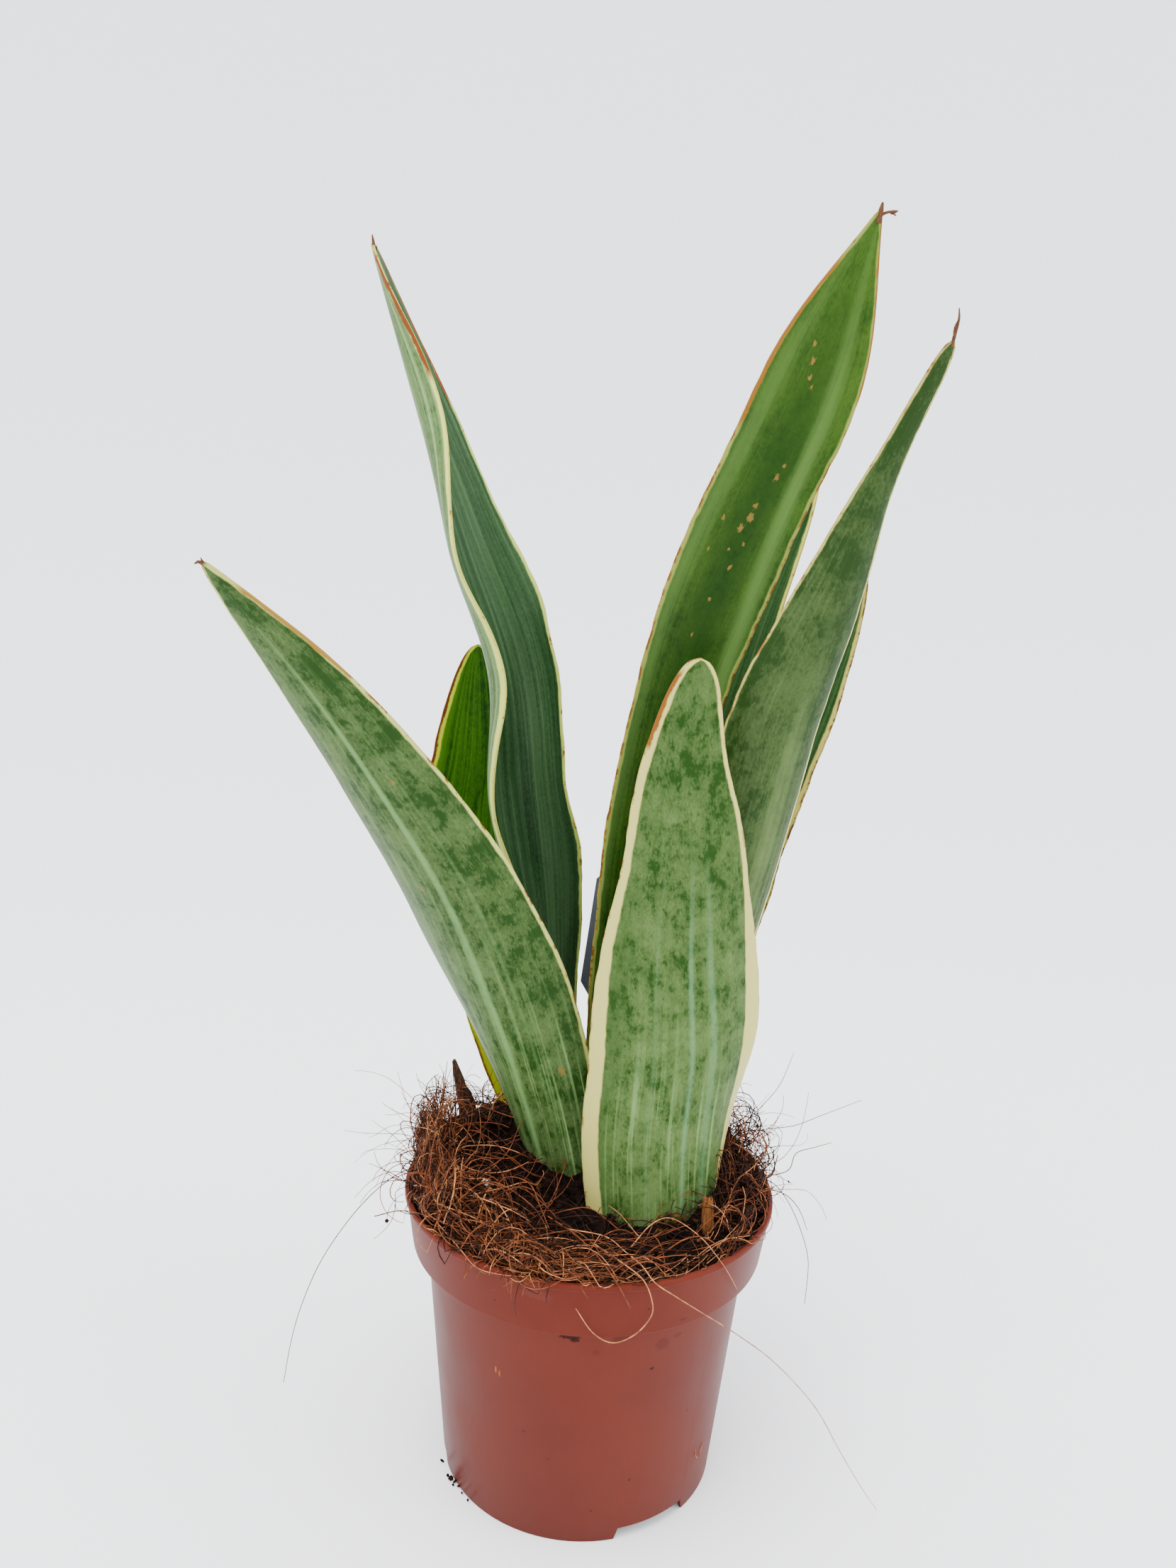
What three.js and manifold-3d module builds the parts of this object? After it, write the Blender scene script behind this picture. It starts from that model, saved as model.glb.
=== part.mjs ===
// A snake plant in its plastic nursery pot: eight channelled leaves growing from one rhizome,
// a plug of coir and peat, tufts of loose coir, an old leaf stub, a bark chip and a plant label.
// Millimetres, +Z up. The origin is on the pot's axis, in the plane that the pot stands on.
// The front of the pot faces -Y.

import * as THREE from 'three';
import { mergeVertices } from 'three/addons/utils/BufferGeometryUtils.js';
import Module from 'manifold-3d';

const wasm = await Module();
wasm.setup();

// ---------------------------------------------------------------- driving dimensions

const TOUCH_GAP = 0.3;

const POT = {
  height: 96,
  rimRadius: 60,
  rimLip: 1.8,
  collarHeight: 18,
  collarRadius: 57.1,
  bodyRadius: 52.3,
  baseRadius: 44.9,
  wall: 1.2,
  rimWall: 1.6,
  segments: 48,
};

const POT_FLOOR = {
  thickness: 1.4,
  underside: 4.2,
  bossRadius: 22,
  bossSlope: 4.5,
  drainHoles: 6,
  drainHoleRadius: 3.6,
  drainHoleCircle: 34,
};

const FEET = {
  count: 3,
  gapAngle: 35,
  firstGapAt: -57.5,
  gapHeight: 4.2,
  skirt: 1.4,
};

const SOIL = {
  edgeTop: 92,
  mound: 15,
  slopeStart: -30,
  slopeEnd: 30,
  segments: 36,
  rings: [8, 16, 24, 32, 40, 48],
  crumb: 0.8,
};

const LEAF_STATIONS = 26;
const LEAF_STRIPS = 6;
const MARGIN_THICKNESS = 0.9;
const TIP_BLUNTNESS = 30;
const SOCKET_DEPTH = 3;

// Each leaf is a channelled blade swept along a spine. Its lists are read from foot to tip,
// at even steps: spine in millimetres, width round the channel, turn of the blade about the
// vertical in degrees (0 faces the front), and how far each half curls away from the front
// (negative curls towards it), as the angle that its margin has turned through.
const LEAVES = {
  leaf_front_left: {
    spine: [
      [-10, 4, 86], [-21, 1, 123], [-34, -4, 160], [-48, -14, 196],
      [-66, -27, 230], [-85, -43, 262], [-106, -60, 291],
    ],
    width: [35, 46, 52, 45, 35, 21, 4],
    turn: [-36, -32, -26, -20, -16, -12, -10],
    curlLeft: [60, 50, 40, 34, 28, 20, 8],
    curlRight: [60, 50, 40, 34, 28, 20, 8],
    thickness: [4.6, 3, 2.4, 1],
    colour: 0x6b8a5a,
  },
  leaf_front_right: {
    spine: [
      [26, -16, 86], [25, -17, 118], [26, -19, 148], [24, -22, 179],
      [23, -26, 210], [21, -29, 241], [23, -32, 271],
    ],
    width: [53, 57, 58, 56, 49, 41, 32, 21, 12],
    turn: [24, 20, 14, 8, 4, 0, 0],
    curlLeft: [58, 50, 42, 36, 30, 24, 12],
    curlRight: [58, 50, 42, 36, 30, 24, 12],
    thickness: [5, 3.2, 2.4, 1.2],
    colour: 0x7c9a68,
  },
  leaf_tall_right: {
    spine: [
      [11, 17, 86], [12, 16, 130], [14, 13, 174], [16, 8, 218],
      [21, 2, 262], [34, -4, 304], [50, -10, 345], [66, -15, 394],
    ],
    width: [24, 31, 36, 36, 33, 29, 31, 30, 27, 4],
    turn: [-4, -2, 0, 2, 2, 0, 0],
    curlLeft: [-70, -55, -45, -35, -30, -25, -10],
    curlRight: [-70, -55, -45, -35, -30, -25, -10],
    thickness: [4.6, 3, 2.4, 1],
    colour: 0x4f7a2c,
  },
  leaf_outer_right: {
    spine: [
      [27, 5, 86], [31, 5, 127], [36, 2, 169], [43, -3, 209],
      [50, -10, 250], [61, -16, 287], [71, -23, 322], [85, -30, 358],
    ],
    width: [27, 30, 31, 30, 32, 32, 27, 17, 8, 6],
    turn: [10, 10, 12, 14, 16, 18, 18],
    curlLeft: [60, 55, 48, 42, 36, 30, 10],
    curlRight: [60, 55, 48, 42, 36, 30, 10],
    thickness: [4.4, 3, 2.2, 1],
    colour: 0x7f9477,
  },
  leaf_tall_left: {
    spine: [
      [-7, 20, 86], [-16, 23, 130], [-23, 26, 174], [-30, 27, 218],
      [-36, 26, 260], [-50, 23, 299], [-65, 20, 343], [-79, 18, 387],
    ],
    width: [22, 31, 38, 40, 40, 37, 30, 12],
    turn: [95, 81, 55, 21, 43, 56, 78, 81],
    curlLeft: [-79, -83, -89, -97, -106, -62, -94, -29],
    curlRight: [-52, -51, -59, -81, -96, -43, -46, -12],
    thickness: [4, 2.6, 2, 1],
    colour: 0x4d7350,
  },
  leaf_back_left: {
    spine: [
      [-15, 40, 86], [-26, 43, 117], [-35, 45, 154],
      [-47, 48, 192], [-46, 51, 229], [-47, 54, 266],
    ],
    width: [20, 28, 36, 40, 31, 11],
    turn: [10, 10, 10, 8, 6, 4],
    curlLeft: [-60, -45, -38, -34, -30, -15],
    curlRight: [-60, -45, -38, -34, -30, -15],
    thickness: [4, 2.8, 2.2, 1.2],
    colour: 0x4a7a1a,
  },
  leaf_back_middle: {
    spine: [
      [12, 41, 86], [15, 46, 132], [20, 50, 180],
      [28, 51, 229], [43, 52, 279], [66, 52, 329],
    ],
    width: [22, 32, 38, 38, 27, 7],
    turn: [0, 0, 0, 0, 0, 0],
    curlLeft: [-70, -60, -50, -45, -35, -15],
    curlRight: [-70, -60, -50, -45, -35, -15],
    thickness: [4, 2.8, 2.2, 1],
    colour: 0x3f6b3a,
  },
  leaf_back_right: {
    spine: [
      [36, 34, 86], [33, 35, 129], [37, 35, 173],
      [47, 34, 216], [64, 33, 258], [80, 32, 298],
    ],
    width: [24, 34, 39, 36, 25, 8],
    turn: [-6, -6, -4, 0, 0, 0],
    curlLeft: [-80, -75, -65, -50, -40, -20],
    curlRight: [-80, -75, -65, -50, -40, -20],
    thickness: [4, 2.8, 2.2, 1],
    colour: 0x44703f,
  },
};

const RHIZOME = { from: [-20, 20, 73], to: [38, 14, 73], radius: 10, knots: 5 };

// A stake label: a broad head over a narrow pointed stem.
const LABEL = {
  headWidth: 22,
  headLength: 40,
  shoulder: 12,
  stemWidth: 4,
  length: 130,
  thickness: 0.8,
  pointLength: 12,
  chamfer: 3,
  foot: [-4.2, 31.5, 62.5],
  leanRight: 5.9,
};

const STUB = { from: [-39, 25, 94], to: [-48, 25, 124], radius: 5 };

const BARK_CHIP = { at: [38, -17, 92], size: [5.5, 2.2, 15], turn: 20, lean: 4 };

// Tufts of loose coir, each a low lump: centre, half sizes and turn about the vertical.
const COIR_TUFTS = {
  coir_tuft_left: { at: [-47, 1, 106], half: [9, 17, 11], turn: 0 },
  coir_tuft_front: { at: [-10, -40, 97], half: [24, 7.5, 3.5], turn: 6 },
  coir_tuft_right: { at: [52, 22, 105], half: [5, 13, 7], turn: 12 },
};

// ---------------------------------------------------------------- booleans and meshes

function solidOf(geometry) {
  const bare = geometry.index ? geometry.toNonIndexed() : geometry.clone();
  bare.deleteAttribute('normal');
  bare.deleteAttribute('uv');
  const merged = mergeVertices(bare, 1e-4);
  return new wasm.Manifold(new wasm.Mesh({
    numProp: 3,
    vertProperties: new Float32Array(merged.attributes.position.array),
    triVerts: new Uint32Array(merged.index.array),
  }));
}

function geometryOf(solid) {
  const mesh = solid.getMesh();
  const geometry = new THREE.BufferGeometry();
  geometry.setAttribute('position', new THREE.BufferAttribute(mesh.vertProperties, 3));
  geometry.setIndex(new THREE.BufferAttribute(mesh.triVerts, 1));
  geometry.computeVertexNormals();
  return geometry;
}

const group = new THREE.Group();

function addPiece(name, geometry, colour, roughness) {
  const material = new THREE.MeshStandardMaterial({ color: colour, roughness, metalness: 0 });
  const mesh = new THREE.Mesh(geometry, material);
  mesh.name = name;
  group.add(mesh);
  return mesh;
}

// ---------------------------------------------------------------- leaves

// A smooth curve through numbers spaced evenly from 0 to 1, with straight ends.
function along(values, t) {
  const last = values.length - 1;
  const span = Math.min(Math.floor(t * last), last - 1);
  const f = t * last - span;
  const value = (i) => {
    if (i < 0) return 2 * values[0] - values[1];
    if (i > last) return 2 * values[last] - values[last - 1];
    return values[i];
  };
  const [a, b, c, d] = [value(span - 1), value(span), value(span + 1), value(span + 2)];
  const linear = c - a;
  const square = 2 * a - 5 * b + 4 * c - d;
  const cube = 3 * b - 3 * c + d - a;
  return 0.5 * (2 * b + linear * f + square * f * f + cube * f ** 3);
}

function spinePoint(leaf, t) {
  const [x, y, z] = [0, 1, 2].map((axis) => along(leaf.spine.map((point) => point[axis]), t));
  return new THREE.Vector3(x, y, z);
}

// The blade's own directions at t: up the leaf, across it to the right margin, and out of its face.
function bladeFrame(leaf, t) {
  const step = 0.001;
  const up = spinePoint(leaf, Math.min(t + step, 1)).sub(spinePoint(leaf, Math.max(t - step, 0)));
  up.normalize();
  const turn = THREE.MathUtils.degToRad(along(leaf.turn, t));
  const across = new THREE.Vector3(Math.cos(turn), Math.sin(turn), 0);
  across.addScaledVector(up, -across.dot(up)).normalize();
  const face = new THREE.Vector3().crossVectors(across, up);
  return { across, face };
}

// One point of the blade: u runs from -1 at the left margin to 1 at the right one, and
// side is 1 on the face that looks to the front at turn 0 and -1 on the other.
function bladePoint(leaf, t, u, side, grow) {
  const { across, face } = bladeFrame(leaf, t);
  const tip = Math.sqrt(Math.max(1 - t ** TIP_BLUNTNESS, 0));
  const halfWidth = along(leaf.width, t) / 2 * tip + 0.3 + grow;
  const curl = THREE.MathUtils.degToRad(along(u < 0 ? leaf.curlLeft : leaf.curlRight, t));
  const radius = halfWidth / curl;
  const angle = curl * Math.abs(u);
  const sideways = Math.sign(u) * radius * Math.sin(angle);
  const depth = radius * (1 - Math.cos(angle));
  const midrib = along(leaf.thickness, t);
  const thickness = MARGIN_THICKNESS + (midrib - MARGIN_THICKNESS) * (1 - u * u);
  const outward = new THREE.Vector3()
    .addScaledVector(face, Math.cos(angle))
    .addScaledVector(across, Math.sign(u) * Math.sin(angle));
  return spinePoint(leaf, t)
    .addScaledVector(across, sideways)
    .addScaledVector(face, -depth)
    .addScaledVector(outward, side * (thickness / 2 + grow));
}

function bladeGeometry(leaf, { grow = 0, until = 1, stations = LEAF_STATIONS } = {}) {
  const columns = LEAF_STRIPS + 1;
  const ring = 2 * columns;
  const positions = [];
  for (let row = 0; row <= stations; row += 1) {
    const t = until * row / stations;
    for (let i = 0; i < ring; i += 1) {
      const front = i < columns;
      const column = front ? i : ring - 1 - i;
      const point = bladePoint(leaf, t, 2 * column / LEAF_STRIPS - 1, front ? 1 : -1, grow);
      positions.push(point);
    }
  }
  if (grow > 0) {
    const down = spinePoint(leaf, 0).sub(spinePoint(leaf, 0.02)).setLength(SOCKET_DEPTH);
    positions.slice(0, ring).forEach((point) => point.add(down));
  }
  const faces = [];
  for (let row = 0; row < stations; row += 1) {
    for (let i = 0; i < ring; i += 1) {
      const a = row * ring + i;
      const b = row * ring + (i + 1) % ring;
      faces.push(a, b, b + ring, a, b + ring, a + ring);
    }
  }
  for (let i = 0; i < LEAF_STRIPS; i += 1) {
    const back = ring - 1 - i;
    const top = stations * ring;
    faces.push(i, back - 1, i + 1, i, back, back - 1);
    faces.push(top + i, top + i + 1, top + back - 1, top + i, top + back - 1, top + back);
  }
  const geometry = new THREE.BufferGeometry();
  const flat = positions.flatMap((point) => point.toArray());
  geometry.setAttribute('position', new THREE.Float32BufferAttribute(flat, 3));
  geometry.setIndex(faces);
  geometry.computeVertexNormals();
  return geometry;
}

for (const [name, leaf] of Object.entries(LEAVES)) {
  addPiece(name, bladeGeometry(leaf), leaf.colour, 0.45);
}

// ---------------------------------------------------------------- rhizome

// A thick creeping stem: a swept tube with swollen knots, closed to a point at both ends.
function rhizomeGeometry(grow = 0) {
  const from = new THREE.Vector3(...RHIZOME.from);
  const axis = new THREE.Vector3(...RHIZOME.to).sub(from);
  const length = axis.length();
  const profile = [];
  const steps = 16;
  for (let i = 0; i <= steps; i += 1) {
    const t = i / steps;
    const dome = Math.sqrt(Math.max(1 - (2 * t - 1) ** 4, 0));
    const knots = 1 + 0.1 * Math.cos(2 * Math.PI * RHIZOME.knots * t);
    const radius = i === 0 || i === steps ? 0 : (RHIZOME.radius + grow) * dome * knots;
    profile.push(new THREE.Vector2(radius, (length + 2 * grow) * t - grow));
  }
  const geometry = new THREE.LatheGeometry(profile, 16);
  const up = new THREE.Vector3(0, 1, 0);
  geometry.applyQuaternion(new THREE.Quaternion().setFromUnitVectors(up, axis.normalize()));
  geometry.translate(...RHIZOME.from);
  return geometry;
}

addPiece('rhizome', geometryOf(solidOf(rhizomeGeometry())), 0xc9a06a, 0.7);

// ---------------------------------------------------------------- pot

function potProfile() {
  const { height, rimRadius, rimLip, collarHeight, collarRadius, bodyRadius, baseRadius } = POT;
  const collarBase = height - collarHeight;
  const floor = POT_FLOOR;
  const floorTop = floor.underside + floor.thickness;
  const slopeFoot = floor.bossRadius + floor.bossSlope;
  return [
    [0, 0],
    [floor.bossRadius, 0],
    [slopeFoot, floor.underside],
    [baseRadius - FEET.skirt, floor.underside],
    [baseRadius - FEET.skirt, 0],
    [baseRadius - 0.3, 0],
    [baseRadius, 0.4],
    [bodyRadius, collarBase],
    [collarRadius - 0.6, collarBase],
    [collarRadius, collarBase + 0.6],
    [rimRadius - 0.7, height - rimLip - 0.5],
    [rimRadius, height - rimLip],
    [rimRadius, height - 0.4],
    [rimRadius - 0.4, height],
    [rimRadius - POT.rimWall, height],
    [collarRadius - POT.wall, collarBase + POT.wall],
    [bodyRadius - POT.wall, collarBase + POT.wall],
    [baseRadius - POT.wall - 0.2, floorTop],
    [slopeFoot - 1, floorTop],
    [floor.bossRadius - 1, floor.thickness],
    [0, floor.thickness],
  ].map(([r, z]) => new THREE.Vector2(r, z));
}

// Lathed about +Y, then stood up so that the axis is +Z.
function standing(geometry) {
  return geometry.rotateX(Math.PI / 2);
}

function footGap(index) {
  const half = THREE.MathUtils.degToRad(FEET.gapAngle / 2);
  const inner = POT.baseRadius - FEET.skirt - 3;
  const outer = POT.baseRadius + 3;
  const chamfer = THREE.MathUtils.degToRad(2.5);
  const outline = new THREE.Shape();
  outline.absarc(0, 0, outer, -half, half, false);
  outline.absarc(0, 0, inner, half, -half, true);
  outline.closePath();
  const gap = new THREE.ExtrudeGeometry(outline, {
    depth: FEET.gapHeight + 2,
    bevelEnabled: false,
    curveSegments: 10,
  });
  const position = gap.attributes.position;
  for (let i = 0; i < position.count; i += 1) {
    if (position.getZ(i) > 1) {
      const angle = Math.atan2(position.getY(i), position.getX(i));
      const radius = Math.hypot(position.getX(i), position.getY(i));
      const pulled = angle * (half - chamfer) / half;
      position.setXY(i, radius * Math.cos(pulled), radius * Math.sin(pulled));
    }
  }
  gap.translate(0, 0, -2);
  const at = FEET.firstGapAt + index * 360 / FEET.count;
  return solidOf(gap.rotateZ(THREE.MathUtils.degToRad(at)));
}

function drainHole(index) {
  const hole = new THREE.CylinderGeometry(
    POT_FLOOR.drainHoleRadius, POT_FLOOR.drainHoleRadius, 8, 12,
  );
  const at = 2 * Math.PI * (index + 0.5) / POT_FLOOR.drainHoles;
  const { drainHoleCircle, underside } = POT_FLOOR;
  hole.rotateX(Math.PI / 2);
  hole.translate(drainHoleCircle * Math.cos(at), drainHoleCircle * Math.sin(at), underside);
  return solidOf(hole);
}

function potGeometry() {
  let pot = solidOf(standing(new THREE.LatheGeometry(potProfile(), POT.segments)));
  for (let i = 0; i < FEET.count; i += 1) {
    pot = pot.subtract(footGap(i));
  }
  for (let i = 0; i < POT_FLOOR.drainHoles; i += 1) {
    pot = pot.subtract(drainHole(i));
  }
  return geometryOf(pot);
}

addPiece('pot', potGeometry(), 0x9a4a3b, 0.42);

// ---------------------------------------------------------------- label, stub and chip

function labelGeometry(grow = 0) {
  const { headLength, shoulder, length, thickness, pointLength, chamfer } = LABEL;
  const head = LABEL.headWidth / 2 + grow;
  const stem = LABEL.stemWidth / 2 + grow;
  const rightSide = [
    [stem, pointLength],
    [stem, length - headLength - shoulder],
    [head, length - headLength],
    [head, length - chamfer],
    [head - chamfer, length],
  ];
  const leftSide = rightSide.map(([x, y]) => [-x, y]).reverse();
  const points = [[0, -grow], ...rightSide, ...leftSide];
  const outline = new THREE.Shape(points.map(([x, y]) => new THREE.Vector2(x, y)));
  const depth = thickness + 2 * grow;
  const label = new THREE.ExtrudeGeometry(outline, { depth, bevelEnabled: false });
  label.translate(0, 0, -depth / 2);
  label.rotateX(Math.PI / 2);
  label.rotateY(THREE.MathUtils.degToRad(LABEL.leanRight));
  return label.translate(...LABEL.foot);
}

addPiece('plant_label', labelGeometry(), 0x6f7780, 0.5);

// A torn leaf base: a bent cone whose foot stands in the soil.
function stubGeometry(grow = 0) {
  const from = new THREE.Vector3(...STUB.from);
  const axis = new THREE.Vector3(...STUB.to).sub(from);
  const stub = new THREE.CylinderGeometry(
    0.8 + grow, STUB.radius + grow, axis.length() + grow, 9, 5,
  );
  stub.translate(0, (axis.length() - grow) / 2, 0);
  const up = new THREE.Vector3(0, 1, 0);
  stub.applyQuaternion(new THREE.Quaternion().setFromUnitVectors(up, axis.normalize()));
  return stub.translate(...STUB.from);
}

addPiece('old_leaf_stub', stubGeometry(), 0x3a2417, 0.85);

function chipGeometry(grow = 0) {
  const [width, depth, height] = BARK_CHIP.size.map((side) => side + 2 * grow);
  const chip = new THREE.BoxGeometry(width, depth, height, 1, 1, 3);
  chip.rotateX(THREE.MathUtils.degToRad(BARK_CHIP.lean));
  chip.rotateZ(THREE.MathUtils.degToRad(BARK_CHIP.turn));
  return chip.translate(...BARK_CHIP.at);
}

addPiece('bark_chip', chipGeometry(), 0x8a5430, 0.85);

// ---------------------------------------------------------------- soil

// The plug stands proud of the rim towards the back, as a root ball does that was potted whole.
function soilTop(x, y) {
  const slope = THREE.MathUtils.smoothstep(y, SOIL.slopeStart, SOIL.slopeEnd);
  const inside = 1 - (Math.hypot(x, y) / POT.rimRadius) ** 4;
  const crumbs = Math.sin(x * 0.71 + y * 0.33) * Math.cos(y * 0.57 - x * 0.21);
  return SOIL.edgeTop + SOIL.mound * slope * (0.45 + 0.55 * inside) + SOIL.crumb * crumbs;
}

// Radius and height of the pot's inner wall, clear of it by the touching gap.
function soilWall() {
  const collarBase = POT.height - POT.collarHeight;
  const gap = POT.wall + TOUCH_GAP;
  const floorTop = POT_FLOOR.underside + POT_FLOOR.thickness + TOUCH_GAP;
  return [
    [POT.rimRadius - POT.rimWall - 1.2, null],
    [POT.collarRadius - gap, collarBase + POT.wall + TOUCH_GAP],
    [POT.bodyRadius - gap, collarBase + POT.wall + TOUCH_GAP],
    [POT.baseRadius - gap - 0.4, floorTop],
  ];
}

function soilGeometry() {
  const { segments, rings } = SOIL;
  const floorTop = POT_FLOOR.underside + POT_FLOOR.thickness + TOUCH_GAP;
  const points = [[0, 0, soilTop(0, 0)]];
  const addRing = (radius, height) => {
    for (let i = 0; i < segments; i += 1) {
      const angle = 2 * Math.PI * i / segments;
      const [x, y] = [radius * Math.cos(angle), radius * Math.sin(angle)];
      points.push([x, y, height === null ? soilTop(x, y) : height]);
    }
  };
  rings.forEach((radius) => addRing(radius, null));
  soilWall().forEach(([radius, height]) => addRing(radius, height));
  const ringCount = rings.length + soilWall().length;
  const bottom = points.push([0, 0, floorTop]) - 1;
  const faces = [];
  for (let i = 0; i < segments; i += 1) {
    const next = (i + 1) % segments;
    faces.push(0, 1 + i, 1 + next);
    for (let ring = 0; ring < ringCount - 1; ring += 1) {
      const a = 1 + ring * segments;
      const b = a + segments;
      faces.push(a + i, b + i, b + next, a + i, b + next, a + next);
    }
    const edge = 1 + (ringCount - 1) * segments;
    faces.push(edge + i, bottom, edge + next);
  }
  const geometry = new THREE.BufferGeometry();
  geometry.setAttribute('position', new THREE.Float32BufferAttribute(points.flat(), 3));
  geometry.setIndex(faces);
  return geometry;
}

// An uneven lump, flattened and turned.
function tuftGeometry({ at, half, turn }, grow = 0) {
  const lump = new THREE.IcosahedronGeometry(1, 3);
  const position = lump.attributes.position;
  for (let i = 0; i < position.count; i += 1) {
    const [x, y, z] = [position.getX(i), position.getY(i), position.getZ(i)];
    const uneven = 1 + 0.08 * Math.sin(5 * x + 2) * Math.cos(4 * y - 1) + 0.05 * Math.sin(7 * z);
    position.setXYZ(
      i, x * uneven * (half[0] + grow), y * uneven * (half[1] + grow),
      z * uneven * (half[2] + grow),
    );
  }
  lump.rotateZ(THREE.MathUtils.degToRad(turn));
  return lump.translate(...at);
}

// What stands in the soil presses its own hollow into it.
function pressedSoil() {
  let soil = solidOf(soilGeometry());
  for (const leaf of Object.values(LEAVES)) {
    soil = soil.subtract(solidOf(bladeGeometry(leaf, {
      grow: TOUCH_GAP, until: 0.2, stations: 8,
    })));
  }
  const pressed = [rhizomeGeometry, labelGeometry, stubGeometry, chipGeometry];
  for (const pieceGeometry of pressed) {
    soil = soil.subtract(solidOf(pieceGeometry(TOUCH_GAP)));
  }
  for (const tuft of Object.values(COIR_TUFTS)) {
    soil = soil.subtract(solidOf(tuftGeometry(tuft, TOUCH_GAP)));
  }
  const pieces = soil.decompose().sort((a, b) => b.volume() - a.volume());
  return pieces[0];
}

addPiece('soil', geometryOf(pressedSoil()), 0x3b2418, 0.95);

for (const [name, tuft] of Object.entries(COIR_TUFTS)) {
  addPiece(name, geometryOf(solidOf(tuftGeometry(tuft))), 0x9a5a2c, 0.9);
}

export default group;
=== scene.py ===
import math
import random
import bpy
import numpy as np
from mathutils import Matrix, Vector, noise


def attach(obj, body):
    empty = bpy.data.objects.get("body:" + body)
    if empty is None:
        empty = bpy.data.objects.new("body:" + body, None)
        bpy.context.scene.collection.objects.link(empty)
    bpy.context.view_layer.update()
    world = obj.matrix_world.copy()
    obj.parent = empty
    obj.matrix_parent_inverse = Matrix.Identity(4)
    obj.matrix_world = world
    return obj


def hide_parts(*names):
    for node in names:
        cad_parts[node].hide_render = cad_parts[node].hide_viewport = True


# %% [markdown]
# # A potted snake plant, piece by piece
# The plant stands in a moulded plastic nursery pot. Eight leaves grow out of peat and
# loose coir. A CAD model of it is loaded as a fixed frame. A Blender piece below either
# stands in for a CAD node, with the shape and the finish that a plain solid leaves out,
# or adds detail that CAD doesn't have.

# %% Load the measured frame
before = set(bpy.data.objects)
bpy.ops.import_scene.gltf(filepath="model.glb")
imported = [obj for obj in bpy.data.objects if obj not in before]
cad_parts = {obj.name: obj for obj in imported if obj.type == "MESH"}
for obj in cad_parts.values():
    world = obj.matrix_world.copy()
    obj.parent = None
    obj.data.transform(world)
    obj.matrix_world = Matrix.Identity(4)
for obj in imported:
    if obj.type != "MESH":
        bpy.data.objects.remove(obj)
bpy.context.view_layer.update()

# %% [markdown]
# ## A few tools
# The lengths in this lesson are in millimetres, because a pot is easier to think about
# that way, and they become metres as they go into a mesh. Colours are written as the
# hex values of a paint chart. Blender's shaders want linear light, so one function
# turns one into the other.

# %% Units and colours
MM = 0.001


def linear(hex_colour):
    channels = [int(hex_colour[i:i + 2], 16) / 255 for i in (1, 3, 5)]
    bent = [c / 12.92 if c <= 0.04045 else ((c + 0.055) / 1.055) ** 2.4 for c in channels]
    return (*bent, 1.0)


print("mid grey in linear light:", [round(c, 3) for c in linear("#808080")])


# %% One way to add a node
# Inputs are given by number or name. A socket is linked, and a plain value is set.
def add_node(tree, kind, inputs=None, **settings):
    node = tree.nodes.new(kind)
    for name, value in settings.items():
        setattr(node, name, value)
    for key, value in (inputs or {}).items():
        if isinstance(value, bpy.types.NodeSocket):
            tree.links.new(value, node.inputs[key])
        else:
            node.inputs[key].default_value = value
    return node


# A Mix node set to colour keeps its two colours at these inputs, and its result here.
MIX_A, MIX_B, MIX_RESULT = 6, 7, 2


def new_material(name, roughness, ior=1.45):
    material = bpy.data.materials.new(name)
    material.use_nodes = True
    shader = material.node_tree.nodes["Principled BSDF"]
    shader.inputs["Roughness"].default_value = roughness
    shader.inputs["IOR"].default_value = ior
    return material, material.node_tree, shader


print("node helper ready")


# %% Selecting, modifying and placing
# An operator works on whatever is selected, so every step starts from nothing selected.
def only(piece):
    if bpy.context.object and bpy.context.object.mode != "OBJECT":
        bpy.ops.object.mode_set(mode="OBJECT")
    bpy.ops.object.select_all(action="DESELECT")
    piece.select_set(True)
    bpy.context.view_layer.objects.active = piece


def modify(piece, kind, **settings):
    only(piece)
    modifier = piece.modifiers.new(kind.title(), kind)
    for name, value in settings.items():
        setattr(modifier, name, value)
    bpy.ops.object.modifier_apply(modifier=modifier.name)


def added(name):
    piece = bpy.context.object
    piece.name = name
    piece.data.name = name
    return piece


# The last steps of every piece: its place goes into its mesh, it rides on the part's
# one body, and the CAD nodes it stands for are hidden.
def finish_piece(piece, replaces=(), smooth_below=40):
    only(piece)
    bpy.ops.object.transform_apply(location=True, rotation=True, scale=True)
    if smooth_below:
        bpy.ops.object.shade_smooth_by_angle(angle=math.radians(smooth_below))
    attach(piece, "root")
    if replaces:
        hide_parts(*replaces)
    print(f"{piece.name}: {len(piece.data.polygons)} faces")


print("mesh helpers ready")


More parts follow.
